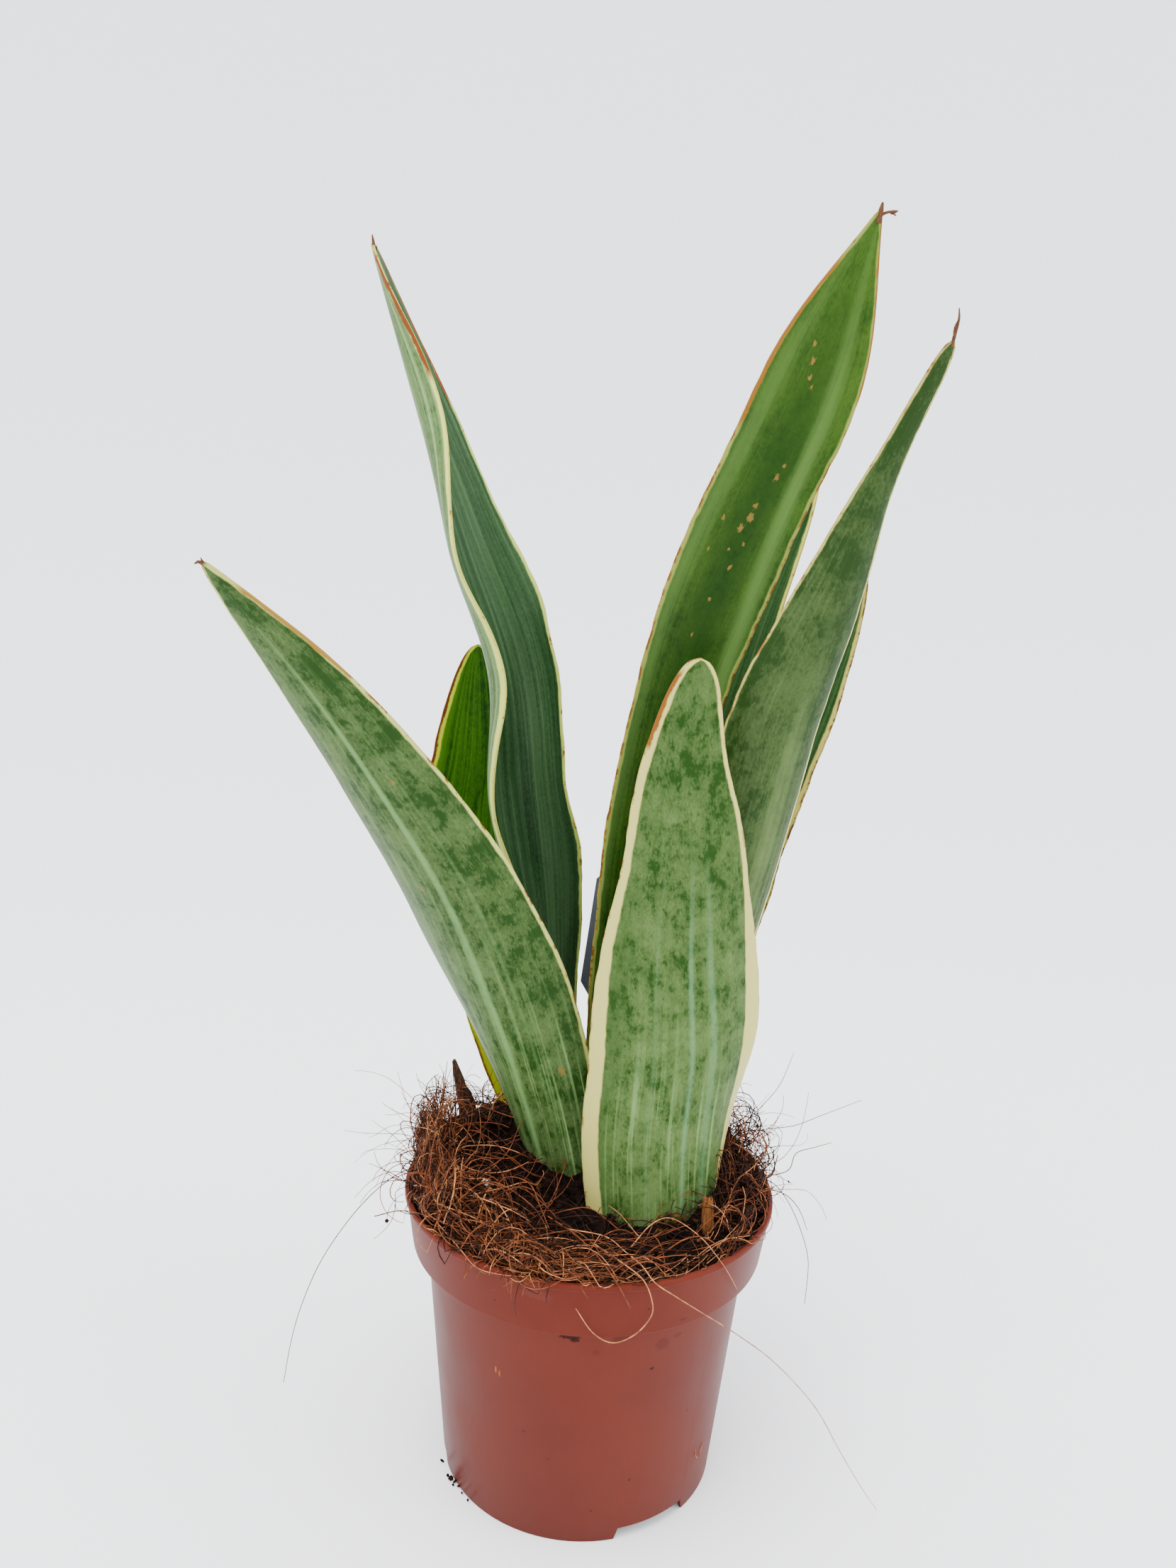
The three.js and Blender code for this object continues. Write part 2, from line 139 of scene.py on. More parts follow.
# %% Turning an outline
# Pots, soil and backdrop are all round. Each is one closed outline of (radius, height)
# pairs in millimetres: a ring of points is put in place and spun about the upright axis.
def turned(name, outline, steps):
    bpy.ops.object.select_all(action="DESELECT")
    bpy.ops.mesh.primitive_circle_add(vertices=len(outline), radius=1)
    piece = added(name)
    for vertex, (radius, height) in zip(piece.data.vertices, outline):
        vertex.co = Vector((radius, 0, height)) * MM
    only(piece)
    bpy.ops.object.mode_set(mode="EDIT")
    bpy.ops.mesh.select_all(action="SELECT")
    bpy.ops.mesh.spin(
        steps=steps, angle=math.tau, center=(0, 0, 0), axis=(0, 0, 1), use_auto_merge=True,
    )
    bpy.ops.mesh.select_all(action="SELECT")
    bpy.ops.mesh.remove_doubles(threshold=0.00002)
    bpy.ops.mesh.dissolve_degenerate(threshold=0.00001)
    bpy.ops.mesh.select_all(action="SELECT")
    bpy.ops.mesh.normals_make_consistent(inside=False)
    bpy.ops.object.mode_set(mode="OBJECT")
    return piece


print("turning tool ready")


# %% Smooth chance
# Perlin noise along a line: the same seed gives the same gentle ups and downs each run.
def ripple(distance, wavelength, seed):
    stops = np.linspace(0.0, float(np.max(distance)) + 1.0, 700)
    values = [noise.noise(Vector((stop / wavelength, 7.31 * seed, 0.37))) for stop in stops]
    return np.interp(distance, stops, values)


print("ripple at three places:", np.round(ripple(np.array([0.0, 5.0, 9.0]), 4.0, 1), 3))

# %% [markdown]
# ## Camera, floor and light
# The camera comes first, so that every piece can be judged from where it will be seen.
# It stands about 37 cm in front of the pot's axis, a little above the leaves' middle,
# looks ten degrees down and is rolled a little. A separate program solved its place,
# tilt and roll from the pot's outline. Floor and backdrop are one pale sheet that curves
# up all round, as in a studio sweep. The light is soft and comes from everywhere, with a
# large lamp overhead, so the shadow under the pot stays faint.

# %% Camera
CAMERA_PLACE = Vector((-6.53, -367.39, 294.70)) * MM
CAMERA_DOWN = 10.254
CAMERA_ROLL = 2.71
FOCAL_LENGTH = 27.67
camera_data = bpy.data.cameras.new("camera")
camera_data.sensor_width = 36
camera_data.lens = FOCAL_LENGTH
camera_data.clip_start = 0.01
camera = bpy.data.objects.new("camera", camera_data)
bpy.context.scene.collection.objects.link(camera)
camera.matrix_world = (
    Matrix.Translation(CAMERA_PLACE)
    @ Matrix.Rotation(math.radians(90 - CAMERA_DOWN), 4, "X")
    @ Matrix.Rotation(math.radians(CAMERA_ROLL), 4, "Z")
)
bpy.context.scene.camera = camera
print("camera at", tuple(round(value, 3) for value in CAMERA_PLACE))

# %% Floor
# A dish almost seven metres across: flat in the middle, then a long easy curve up to a wall.
FLAT_RADIUS = 800
CURVE_RADIUS = 2600
FLOOR_SKIN = 20
sweep = [
    (FLAT_RADIUS + CURVE_RADIUS * math.sin(math.radians(lean)),
     CURVE_RADIUS * (1 - math.cos(math.radians(lean))))
    for lean in range(0, 86, 5)
]
floor = turned(
    "floor", [(0, 0), *sweep, *((r + FLOOR_SKIN, z - FLOOR_SKIN) for r, z in reversed(sweep)),
              (0, -FLOOR_SKIN)], 96,
)
only(floor)
bpy.ops.object.shade_smooth_by_angle(angle=math.radians(40))

paper, paper_tree, paper_shader = new_material("matt white paper", 0.9)
paper_shader.inputs["Base Color"].default_value = linear("#F6F7F9")
paper_shader.inputs["Specular IOR Level"].default_value = 0.2
floor.data.materials.append(paper)
print("floor flat to", FLAT_RADIUS, "mm")


# %% Light
def soft_lamp(name, place, width, power, aim):
    lamp_data = bpy.data.lights.new(name, "AREA")
    lamp_data.shape = "DISK"
    lamp_data.size = width
    lamp_data.energy = power
    lamp = bpy.data.objects.new(name, lamp_data)
    bpy.context.scene.collection.objects.link(lamp)
    lamp.location = place
    lamp.rotation_euler = (Vector(aim) - Vector(place)).to_track_quat("-Z", "Y").to_euler()


world = bpy.data.worlds.new("soft room")
bpy.context.scene.world = world
world.use_nodes = True
sky = world.node_tree.nodes["Background"]
sky.inputs["Color"].default_value = linear("#F2F4F7")
sky.inputs["Strength"].default_value = 2.8
soft_lamp("lamp overhead", (-0.5, -0.6, 1.9), 1.4, 46, (0, 0, 0.15))
soft_lamp("lamp right", (1.5, -0.5, 1.0), 1.0, 14, (0, 0, 0.2))
print("sky and two lamps")

# %% [markdown]
# ## The leaves
# A snake plant's leaf is a stiff strap that grows from a point under the soil. It is
# channelled: each half curls a little forwards or back from the midrib. So each leaf
# is described as a florist might wire one up: the line of its midrib in space, and at
# even steps along that line its width, which way it faces, and how far each half curls.
# These lists repeat the CAD part's, so the two models agree but for their margins. They
# weren't all written by hand. A separate fitting program solved most of the spines and
# widths of the five leaves that are best seen, and the tall left leaf's turn and curls.
#
# `spine` is in millimetres, `width` is measured round the channel, `turn` is the
# heading of the blade in degrees, and `curl` is the angle that each margin has turned
# through: on both halves, or on the left one where `curl_right` is given too. A
# negative curl comes towards the front.

# %% Leaf shapes
LEAVES = {
    "leaf_front_left": {
        "spine": [
            (-10, 4, 86), (-21, 1, 123), (-34, -4, 160), (-48, -14, 196),
            (-66, -27, 230), (-85, -43, 262), (-106, -60, 291),
        ],
        "width": [35, 46, 52, 45, 35, 21, 4],
        "turn": [-36, -32, -26, -20, -16, -12, -10],
        "curl": [60, 50, 40, 34, 28, 20, 8],
        "thickness": [4.6, 3, 2.4, 1],
    },
    "leaf_front_right": {
        "spine": [
            (26, -16, 86), (25, -17, 118), (26, -19, 148), (24, -22, 179),
            (23, -26, 210), (21, -29, 241), (23, -32, 271),
        ],
        "width": [53, 57, 58, 56, 49, 41, 32, 21, 12],
        "turn": [24, 20, 14, 8, 4, 0, 0],
        "curl": [58, 50, 42, 36, 30, 24, 12],
        "thickness": [5, 3.2, 2.4, 1.2],
    },
    "leaf_tall_right": {
        "spine": [
            (11, 17, 86), (12, 16, 130), (14, 13, 174), (16, 8, 218),
            (21, 2, 262), (34, -4, 304), (50, -10, 345), (66, -15, 394),
        ],
        "width": [24, 31, 36, 36, 33, 29, 31, 30, 27, 4],
        "turn": [-4, -2, 0, 2, 2, 0, 0],
        "curl": [-70, -55, -45, -35, -30, -25, -10],
        "thickness": [4.6, 3, 2.4, 1],
    },
    "leaf_outer_right": {
        "spine": [
            (27, 5, 86), (31, 5, 127), (36, 2, 169), (43, -3, 209),
            (50, -10, 250), (61, -16, 287), (71, -23, 322), (85, -30, 358),
        ],
        "width": [27, 30, 31, 30, 32, 32, 27, 17, 8, 6],
        "turn": [10, 10, 12, 14, 16, 18, 18],
        "curl": [60, 55, 48, 42, 36, 30, 10],
        "thickness": [4.4, 3, 2.2, 1],
    },
    "leaf_tall_left": {
        "spine": [
            (-7, 20, 86), (-16, 23, 130), (-23, 26, 174), (-30, 27, 218),
            (-36, 26, 260), (-50, 23, 299), (-65, 20, 343), (-79, 18, 387),
        ],
        "width": [22, 31, 38, 40, 40, 37, 30, 12],
        "turn": [95, 81, 55, 21, 43, 56, 78, 81],
        "curl": [-79, -83, -89, -97, -106, -62, -94, -29],
        "curl_right": [-52, -51, -59, -81, -96, -43, -46, -12],
        "thickness": [4, 2.6, 2, 1],
    },
    "leaf_back_left": {
        "spine": [
            (-15, 40, 86), (-26, 43, 117), (-35, 45, 154),
            (-47, 48, 192), (-46, 51, 229), (-47, 54, 266),
        ],
        "width": [20, 28, 36, 40, 31, 11],
        "turn": [10, 10, 10, 8, 6, 4],
        "curl": [-60, -45, -38, -34, -30, -15],
        "thickness": [4, 2.8, 2.2, 1.2],
    },
    "leaf_back_middle": {
        "spine": [
            (12, 41, 86), (15, 46, 132), (20, 50, 180),
            (28, 51, 229), (43, 52, 279), (66, 52, 329),
        ],
        "width": [22, 32, 38, 38, 27, 7],
        "turn": [0, 0, 0, 0, 0, 0],
        "curl": [-70, -60, -50, -45, -35, -15],
        "thickness": [4, 2.8, 2.2, 1],
    },
    "leaf_back_right": {
        "spine": [
            (36, 34, 86), (33, 35, 129), (37, 35, 173),
            (47, 34, 216), (64, 33, 258), (80, 32, 298),
        ],
        "width": [24, 34, 39, 36, 25, 8],
        "turn": [-6, -6, -4, 0, 0, 0],
        "curl": [-80, -75, -65, -50, -40, -20],
        "thickness": [4, 2.8, 2.2, 1],
    },
}
print(len(LEAVES), "leaves")


# %% Reading a leaf's lists
# A smooth curve through evenly spaced values, with straight ends (Catmull-Rom).
def along(values, t):
    values = np.asarray(values, dtype=float)
    t = np.atleast_1d(t)
    last = len(values) - 1
    padded = np.concatenate((
        [2 * values[0] - values[1]], values, [2 * values[-1] - values[-2]],
    ))
    span = np.clip(np.floor(t * last).astype(int), 0, last - 1)
    f = t * last - span
    if values.ndim == 2:
        f = f[:, None]
    a, b, c, d = (padded[span + i] for i in range(4))
    square = 2 * a - 5 * b + 4 * c - d
    cube = 3 * b - 3 * c + d - a
    return 0.5 * (2 * b + (c - a) * f + square * f ** 2 + cube * f ** 3)


def unit(vectors):
    return vectors / np.linalg.norm(vectors, axis=1)[:, None]


def spine_length(leaf):
    points = along(leaf["spine"], np.linspace(0, 1, 400))
    return float(np.linalg.norm(np.diff(points, axis=0), axis=1).sum())


for leaf_name, leaf in LEAVES.items():
    print(leaf_name, "is", round(spine_length(leaf)), "mm long")

# %% [markdown]
# ### Cutting a blank and bending it
# A leaf could be sculpted, but then nothing would know where its margin or its midrib
# is. Here each leaf starts as a flat blank instead: a grid two units wide and one long,
# given two skins by Solidify. Across the blank runs from -1 to 1 and up it from 0 to 1,
# so every point knows where on the leaf it lies. Bending the blank then only moves its
# points. The same numbers are kept as attributes, and the skin's pattern reads them.

# %% Blank
BLANK_COLUMNS = 34
BLANK_ROWS = 190


def leaf_blank(name):
    bpy.ops.object.select_all(action="DESELECT")
    bpy.ops.mesh.primitive_grid_add(
        x_subdivisions=BLANK_COLUMNS, y_subdivisions=BLANK_ROWS, size=2,
    )
    blank = added(name)
    only(blank)
    bpy.ops.object.mode_set(mode="EDIT")
    bpy.ops.mesh.select_all(action="SELECT")
    bpy.ops.transform.resize(value=(1, 0.5, 1), center_override=(0, -1, 0))
    bpy.ops.object.mode_set(mode="OBJECT")
    modify(blank, "SOLIDIFY", thickness=2, offset=0)
    return blank


# %% Bend
# `wavy` and `ragged` are how far the cut edge wanders in slow and in short waves, and
# `ruffle` is how far the margin leaves the blade's own curve. `cream` gives the width
# of the pale border from foot to tip, for the left and for the right margin, and
# `edge` how far each margin bulges or draws in there, beyond the list of widths.
MARGIN_THICKNESS = 0.9
TIP_BLUNTNESS = 30
RIM_SHARE = 0.35
HABITS = {
    "leaf_front_left": {
        "wavy": 0.35, "ragged": 0.12, "ruffle": 0.5,
        "cream": ([0.3, 0.4, 0.6, 0.7, 0.7, 0.7], [1.3, 1.2, 1.1, 1.0, 0.9, 0.9]),
        "edge": ([-8.0, -7.6, -6.4, -0.9, 0.1, 0, 0, 0, 0], [0, 0]),
    },
    "leaf_front_right": {
        "wavy": 0.45, "ragged": 0.2, "ruffle": 0.6,
        "cream": (
            [6.2, 6.0, 5.6, 5.2, 4.0, 3.2, 2.9, 2.6, 2.0],
            [8.4, 8.0, 7.4, 7.2, 4.8, 2.4, 1.7, 1.4, 1.2],
        ),
        "edge": ([0, 0, 0, 0.2, 0.6, -0.4, 0, 0, 0], [0, -0.4, 0.2, 2.2, 1.9, 0.4, 0, 0, 0]),
    },
    "leaf_tall_right": {
        "wavy": 0.5, "ragged": 0.3, "ruffle": 0.7,
        "cream": ([1.2, 1.2, 1.2, 1.0, 0.9, 0.8], [1.0, 1.0, 1.0, 0.9, 0.9, 0.8]),
    },
    "leaf_outer_right": {
        "wavy": 0.45, "ragged": 0.2, "ruffle": 0.7,
        "cream": ([0.8, 0.8, 0.8, 0.7, 0.6, 0.5], [1.6, 1.6, 1.5, 1.2, 0.9, 0.6]),
    },
    "leaf_tall_left": {
        "wavy": 1.0, "ragged": 0.2, "ruffle": 1.1,
        "cream": ([2.2, 2.0, 2.2, 2.0, 1.3, 1.0], [1.0, 1.0, 1.0, 0.9, 0.8, 0.7]),
    },
    "leaf_back_left": {
        "wavy": 0.5, "ragged": 0.2, "ruffle": 0.6,
        "cream": ([3.2, 3.0, 2.8, 2.6, 2.2, 1.6], [2.6, 2.4, 2.2, 2.0, 1.8, 1.4]),
    },
    "leaf_back_middle": {
        "wavy": 0.6, "ragged": 0.25, "ruffle": 0.8,
        "cream": ([1.6, 1.6, 1.6, 1.4, 1.2, 1.0], [1.6, 1.6, 1.6, 1.4, 1.2, 1.0]),
    },
    "leaf_back_right": {
        "wavy": 0.9, "ragged": 0.3, "ruffle": 1.3,
        "cream": ([1.6, 1.6, 1.6, 1.4, 1.2, 1.0], [2.2, 2.2, 2.0, 1.8, 1.4, 1.0]),
    },
}


def bend_blank(blank, leaf, habit, seed):
    mesh = blank.data
    flat = np.empty(3 * len(mesh.vertices))
    mesh.vertices.foreach_get("co", flat)
    flat = flat.reshape(-1, 3)
    # Columns are drawn together towards the margins, where the shape changes fastest.
    u = np.sin(flat[:, 0] * math.pi / 2)
    t = np.clip(flat[:, 1] + 1, 0, 1)
    skin = np.sign(flat[:, 2])
    left = u < 0
    distance = t * spine_length(leaf)

    step = 0.001
    middle = along(leaf["spine"], t)
    up = unit(along(leaf["spine"], np.minimum(t + step, 1))
              - along(leaf["spine"], np.maximum(t - step, 0)))
    turn = np.radians(along(leaf["turn"], t))
    across = np.stack((np.cos(turn), np.sin(turn), np.zeros_like(turn)), axis=1)
    across = unit(across - up * (across * up).sum(axis=1)[:, None])
    face = np.cross(across, up)

    tip = np.sqrt(np.maximum(1 - t ** TIP_BLUNTNESS, 0))
    slow = np.where(left, ripple(distance, 16, seed), ripple(distance, 16, seed + 40))
    short = np.where(left, ripple(distance, 3.5, seed), ripple(distance, 3.5, seed + 40))
    cut = (habit["wavy"] * slow + habit["ragged"] * short) * np.minimum(1, 4 - 4 * t)
    bulge = [along(values, t) for values in habit.get("edge", ([0, 0], [0, 0]))]
    half_width = (along(leaf["width"], t) / 2 * tip + 0.3 + np.abs(u) ** 8 * cut
                  + np.abs(u) ** 2 * np.where(left, *bulge))
    right_curl = leaf.get("curl_right", leaf["curl"])
    curl = np.radians(np.where(left, along(leaf["curl"], t), along(right_curl, t)))
    radius = half_width / curl
    angle = curl * np.abs(u)
    sideways = np.sign(u) * radius * np.sin(angle)
    depth = radius * (1 - np.cos(angle))
    outward = (face * np.cos(angle)[:, None]
               + across * (np.sign(u) * np.sin(angle))[:, None])
    midrib = along(leaf["thickness"], t)
    thickness = MARGIN_THICKNESS + (midrib - MARGIN_THICKNESS) * (1 - u ** 2)
    thickness = thickness * np.maximum(np.sqrt(1 - np.abs(u) ** 60), RIM_SHARE)
    ruffle = np.where(left, ripple(distance, 22, seed + 80), ripple(distance, 22, seed + 120))
    lift = habit["ruffle"] * ruffle * np.abs(u) ** 5 * np.minimum(1, 4 - 4 * t)
    place = (middle + across * sideways[:, None] - face * depth[:, None]
             + outward * (skin * thickness / 2 + lift)[:, None])

    mesh.vertices.foreach_set("co", (place * MM).ravel())
    margin = (1 - np.abs(u)) * half_width
    cream_width = np.where(left, along(habit["cream"][0], t), along(habit["cream"][1], t))
    blade = np.stack((u * half_width, distance, margin), axis=1)
    share = np.stack((u, t, margin - cream_width), axis=1)
    for name, values in (("blade_mm", blade), ("blade_share", share)):
        attribute = mesh.attributes.new(name, "FLOAT_VECTOR", "POINT")
        attribute.data.foreach_set("vector", values.astype(np.float32).ravel())
    mesh.update()


def back_skin_faces(blank):
    flat_normals = np.empty(3 * len(blank.data.polygons))
    blank.data.polygons.foreach_get("normal", flat_normals)
    return (flat_normals[2::3] < -0.5).astype(np.int32)


print("bending tools ready")

# %% [markdown]
# ### Leaf skin
# Living leaf tissue has a waxy skin over fine lengthwise fibres. Its green isn't
# painted on: it is patchy, with pale silver cells between darker ones, drawn out along
# the leaf. A snake plant adds a cream border, where the tissue has no green at all, and
# a dry tan line where the cut-sharp margin has corked over.
#
# One recipe makes every face of every leaf. It reads the attributes of the blank, so
# the pattern bends with the leaf, and each face has its own colours and amounts:
# `level` is how light it is overall, `mottle` and `stripes` how strong the cloudy and
# the lengthwise patterns are, `to_right` and `to_tip` how it changes across and up the
# leaf. `bands` are stripes, and on a few leaves painted light in whole or in part, given
# as (place across at the foot, and at the tip, width, strength, and a colour where it
# isn't the usual one), and `stains` are brown lengths of margin given as (side, from, to,
# width in mm, colour). The view's tone curve washes bright colours out, so colours are
# written deeper than they look. A separate program worked the deeper ones out, for the
# leaves and for all the pieces after them.

# %% Plain skin values
SMOOTH = {"interpolation_type": "SMOOTHSTEP"}
PLAIN_SKIN = {
    "dark": "#1C340E", "light": "#566E41", "silver": "#83A170",
    "level": 0.5, "mottle": 1.2, "stripes": 0.5, "to_right": 0.0, "to_tip": 0.0,
    "mottle_mm": (8, 17), "stripe_mm": 1.3, "streaks": 0.3, "streaks_at_foot": 0.4,
    "flecks": 0.3, "bands": [], "bands_to": 1.2, "band": "#699366",
    "cream": "#BAB451", "cream_soft": 0.35,
    "edge": "#6B5420", "edge_mm": 0.35, "corked": 0.3, "cork": "#673B0E",
    "dry_from": 0.992, "dry": "#45260D", "spots": [], "stains": [],
}
print(len(PLAIN_SKIN), "values describe a leaf face")


# %% Skin grain
# Patterns in the tissue: where each is read, how many lumps per unit, and how rough.
def skin_grain(tree, blade, share, look, seed):
    wide, tall = look["mottle_mm"]
    fibres_across = 20 / look["stripe_mm"]
    plan = {
        "cloud": (blade, (1 / wide, 1 / tall, 0), 5, 0.66),
        "fleck": (blade, (0.42, 0.24, 0), 4, 0.72),
        "fibre": (share, (fibres_across, 2.2, 0), 3, 0.6),
        "broad": (share, (fibres_across / 3.5, 1.1, 0), 2, 0.6),
        "cells": (blade, (1.9, 0.75, 0), 2, 0.6),
        "waver": (blade, (0.2, 0.12, 0), 3, 0.6),
        "cork": (blade, (0.25, 0.16, 0), 4, 0.7),
    }
    grain = {}
    for label, (where, scale, detail, roughness) in plan.items():
        moved = add_node(tree, "ShaderNodeMapping", {
            "Vector": where, "Location": (3.7 * seed, 1.9 * seed, seed), "Scale": scale,
        })
        grain[label] = add_node(tree, "ShaderNodeTexNoise", {
            "Vector": moved.outputs[0], "Scale": 1.0, "Detail": detail,
            "Roughness": roughness,
        }).outputs[0]
    return grain


print("skin grain ready")


# %% Green tissue
# How light the tissue is, from 0 to 1, as a sum of its patterns.
def tissue_tone(tree, grain, side, height, look):
    gathered = add_node(tree, "ShaderNodeMath", {
        0: grain["cloud"], 1: 0.6, 2: grain["fleck"],
    }, operation="MULTIPLY_ADD").outputs[0]
    fleck = add_node(tree, "ShaderNodeMapRange", {
        0: gathered, 1: 0.84, 2: 0.60,
    }, **SMOOTH).outputs[0]
    tone = look["level"] - 0.5 * (look["mottle"] + look["stripes"] * 1.5 + 0.9)
    for pattern, amount in (
        (grain["cloud"], look["mottle"]), (grain["fibre"], look["stripes"]),
        (grain["broad"], 0.5 * look["stripes"]), (grain["cells"], 0.9),
        (fleck, -look["flecks"]), (side, look["to_right"]), (height, look["to_tip"]),
    ):
        tone = add_node(tree, "ShaderNodeMath", {
            0: pattern, 1: amount, 2: tone,
        }, operation="MULTIPLY_ADD").outputs[0]
    return tone


# Fine pale streaks are strongest at the foot, and pale bands run up the leaf; on a few leaves a
# band is painted light, in whole or in part.
def pale_layers(tree, grain, side, height, look):
    at_most = look["streaks"] + look["streaks_at_foot"]
    foot = add_node(tree, "ShaderNodeMapRange", {
        0: height, 1: 0.5, 2: 0.0, 3: look["streaks"], 4: at_most,
    }, **SMOOTH).outputs[0]
    line = add_node(tree, "ShaderNodeMapRange", {
        0: grain["fibre"], 1: 0.50, 2: 0.72,
    }, **SMOOTH).outputs[0]
    streak = add_node(tree, "ShaderNodeMath", {0: line, 1: foot}, operation="MULTIPLY")
    layers = [(streak.outputs[0], look["silver"])]
    broken = add_node(tree, "ShaderNodeMapRange", {
        0: grain["fibre"], 1: 0.2, 2: 0.6, 3: 0.6, 4: 1.0,
    }, **SMOOTH).outputs[0]
    fading = add_node(tree, "ShaderNodeMapRange", {
        0: height, 1: look["bands_to"] + 0.15, 2: look["bands_to"] - 0.15, 3: 0.0, 4: 1.0,
    }, **SMOOTH).outputs[0]
    broken = add_node(tree, "ShaderNodeMath", {0: broken, 1: fading}, operation="MULTIPLY")
    for at_foot, at_tip, width, strength, *own in look["bands"]:
        leaning = add_node(tree, "ShaderNodeMath", {
            0: height, 1: at_foot - at_tip, 2: side,
        }, operation="MULTIPLY_ADD")
        offset = add_node(tree, "ShaderNodeMath", {
            0: leaning.outputs[0], 1: at_foot,
        }, operation="SUBTRACT")
        gap = add_node(tree, "ShaderNodeMath", {0: offset.outputs[0]}, operation="ABSOLUTE")
        inside = add_node(tree, "ShaderNodeMapRange", {
            0: gap.outputs[0], 1: width, 2: width * 0.1, 3: 0.0, 4: strength,
        }, **SMOOTH)
        cover = add_node(tree, "ShaderNodeMath", {
            0: inside.outputs[0], 1: broken.outputs[0],
        }, operation="MULTIPLY")
        layers.append((cover.outputs[0], own[0] if own else look["band"]))
    return layers


print("green tissue ready")


# %% Border, cork and scars
# The margin's cream border has a soft inner limit, then comes the dry edge line.
def margin_layers(tree, grain, margin, side, height, cream, look):
    border = add_node(tree, "ShaderNodeMath", {
        0: grain["waver"], 1: 1.2, 2: cream,
    }, operation="MULTIPLY_ADD")
    soft = look["cream_soft"]
    in_border = add_node(tree, "ShaderNodeMapRange", {
        0: border.outputs[0], 1: 0.6 + soft, 2: 0.6 - soft,
    }, **SMOOTH)
    at_edge = add_node(tree, "ShaderNodeMapRange", {
        0: margin, 1: look["edge_mm"] * 1.3, 2: look["edge_mm"] * 0.6, 3: 0.0, 4: 0.6,
    }, **SMOOTH)
    near = add_node(tree, "ShaderNodeMapRange", {
        0: margin, 1: look["edge_mm"] * 3, 2: 0.0,
    }, **SMOOTH)
    patchy = add_node(tree, "ShaderNodeMapRange", {
        0: grain["cork"], 1: 0.66 - look["corked"] * 0.35, 2: 0.72 - look["corked"] * 0.3,
    }, **SMOOTH)
    corked = add_node(tree, "ShaderNodeMath", {
        0: near.outputs[0], 1: patchy.outputs[0],
    }, operation="MULTIPLY")
    layers = [
        (in_border.outputs[0], look["cream"]), (at_edge.outputs[0], look["edge"]),
        (corked.outputs[0], look["cork"]),
    ]
    uneven = add_node(tree, "ShaderNodeMath", {
        0: grain["cork"], 1: 2.4, 2: margin,
    }, operation="MULTIPLY_ADD")
    for side_sign, low, high, width, stain in look["stains"]:
        middle = (low + high) / 2
        away = add_node(tree, "ShaderNodeMath", {0: height, 1: middle}, operation="SUBTRACT")
        gap = add_node(tree, "ShaderNodeMath", {0: away.outputs[0]}, operation="ABSOLUTE")
        long = add_node(tree, "ShaderNodeMapRange", {
            0: gap.outputs[0], 1: high - middle, 2: (high - middle) * 0.75,
        }, **SMOOTH)
        deep = add_node(tree, "ShaderNodeMapRange", {
            0: uneven.outputs[0], 1: width + 1.5, 2: width + 0.9,
        }, **SMOOTH)
        on_side = add_node(tree, "ShaderNodeMapRange", {
            0: side, 1: 0.0, 2: 0.2 * side_sign,
        }, **SMOOTH)
        cover = long.outputs[0]
        for share in (deep.outputs[0], on_side.outputs[0]):
            cover = add_node(tree, "ShaderNodeMath", {
                0: cover, 1: share,
            }, operation="MULTIPLY").outputs[0]
        layers.append((cover, stain))
    return layers


# Scabs are (across mm, along mm, radius): ragged tan spots where the skin was nicked.
def scab_layers(tree, grain, blade, look):
    layers = []
    for across, up, radius in look["spots"]:
        reach = add_node(tree, "ShaderNodeVectorMath", {
            0: blade, 1: (across, up, 0),
        }, operation="SUBTRACT")
        flat_reach = add_node(tree, "ShaderNodeVectorMath", {
            0: reach.outputs[0], 1: (1, 0.6, 0),
        }, operation="MULTIPLY")
        ragged = add_node(tree, "ShaderNodeVectorMath", {
            0: flat_reach.outputs[0],
        }, operation="LENGTH").outputs["Value"]
        for pattern, amount in ((grain["cells"], -2.6), (grain["fleck"], -1.8)):
            ragged = add_node(tree, "ShaderNodeMath", {
                0: pattern, 1: amount * radius, 2: ragged,
            }, operation="MULTIPLY_ADD").outputs[0]
        cover = add_node(tree, "ShaderNodeMapRange", {
            0: ragged, 1: -radius * 1.1, 2: -radius * 1.6, 3: 0.0, 4: 0.8,
        }, **SMOOTH)
        layers.append((cover.outputs[0], "#775C2A"))
    return layers


print("border, cork and scabs ready")


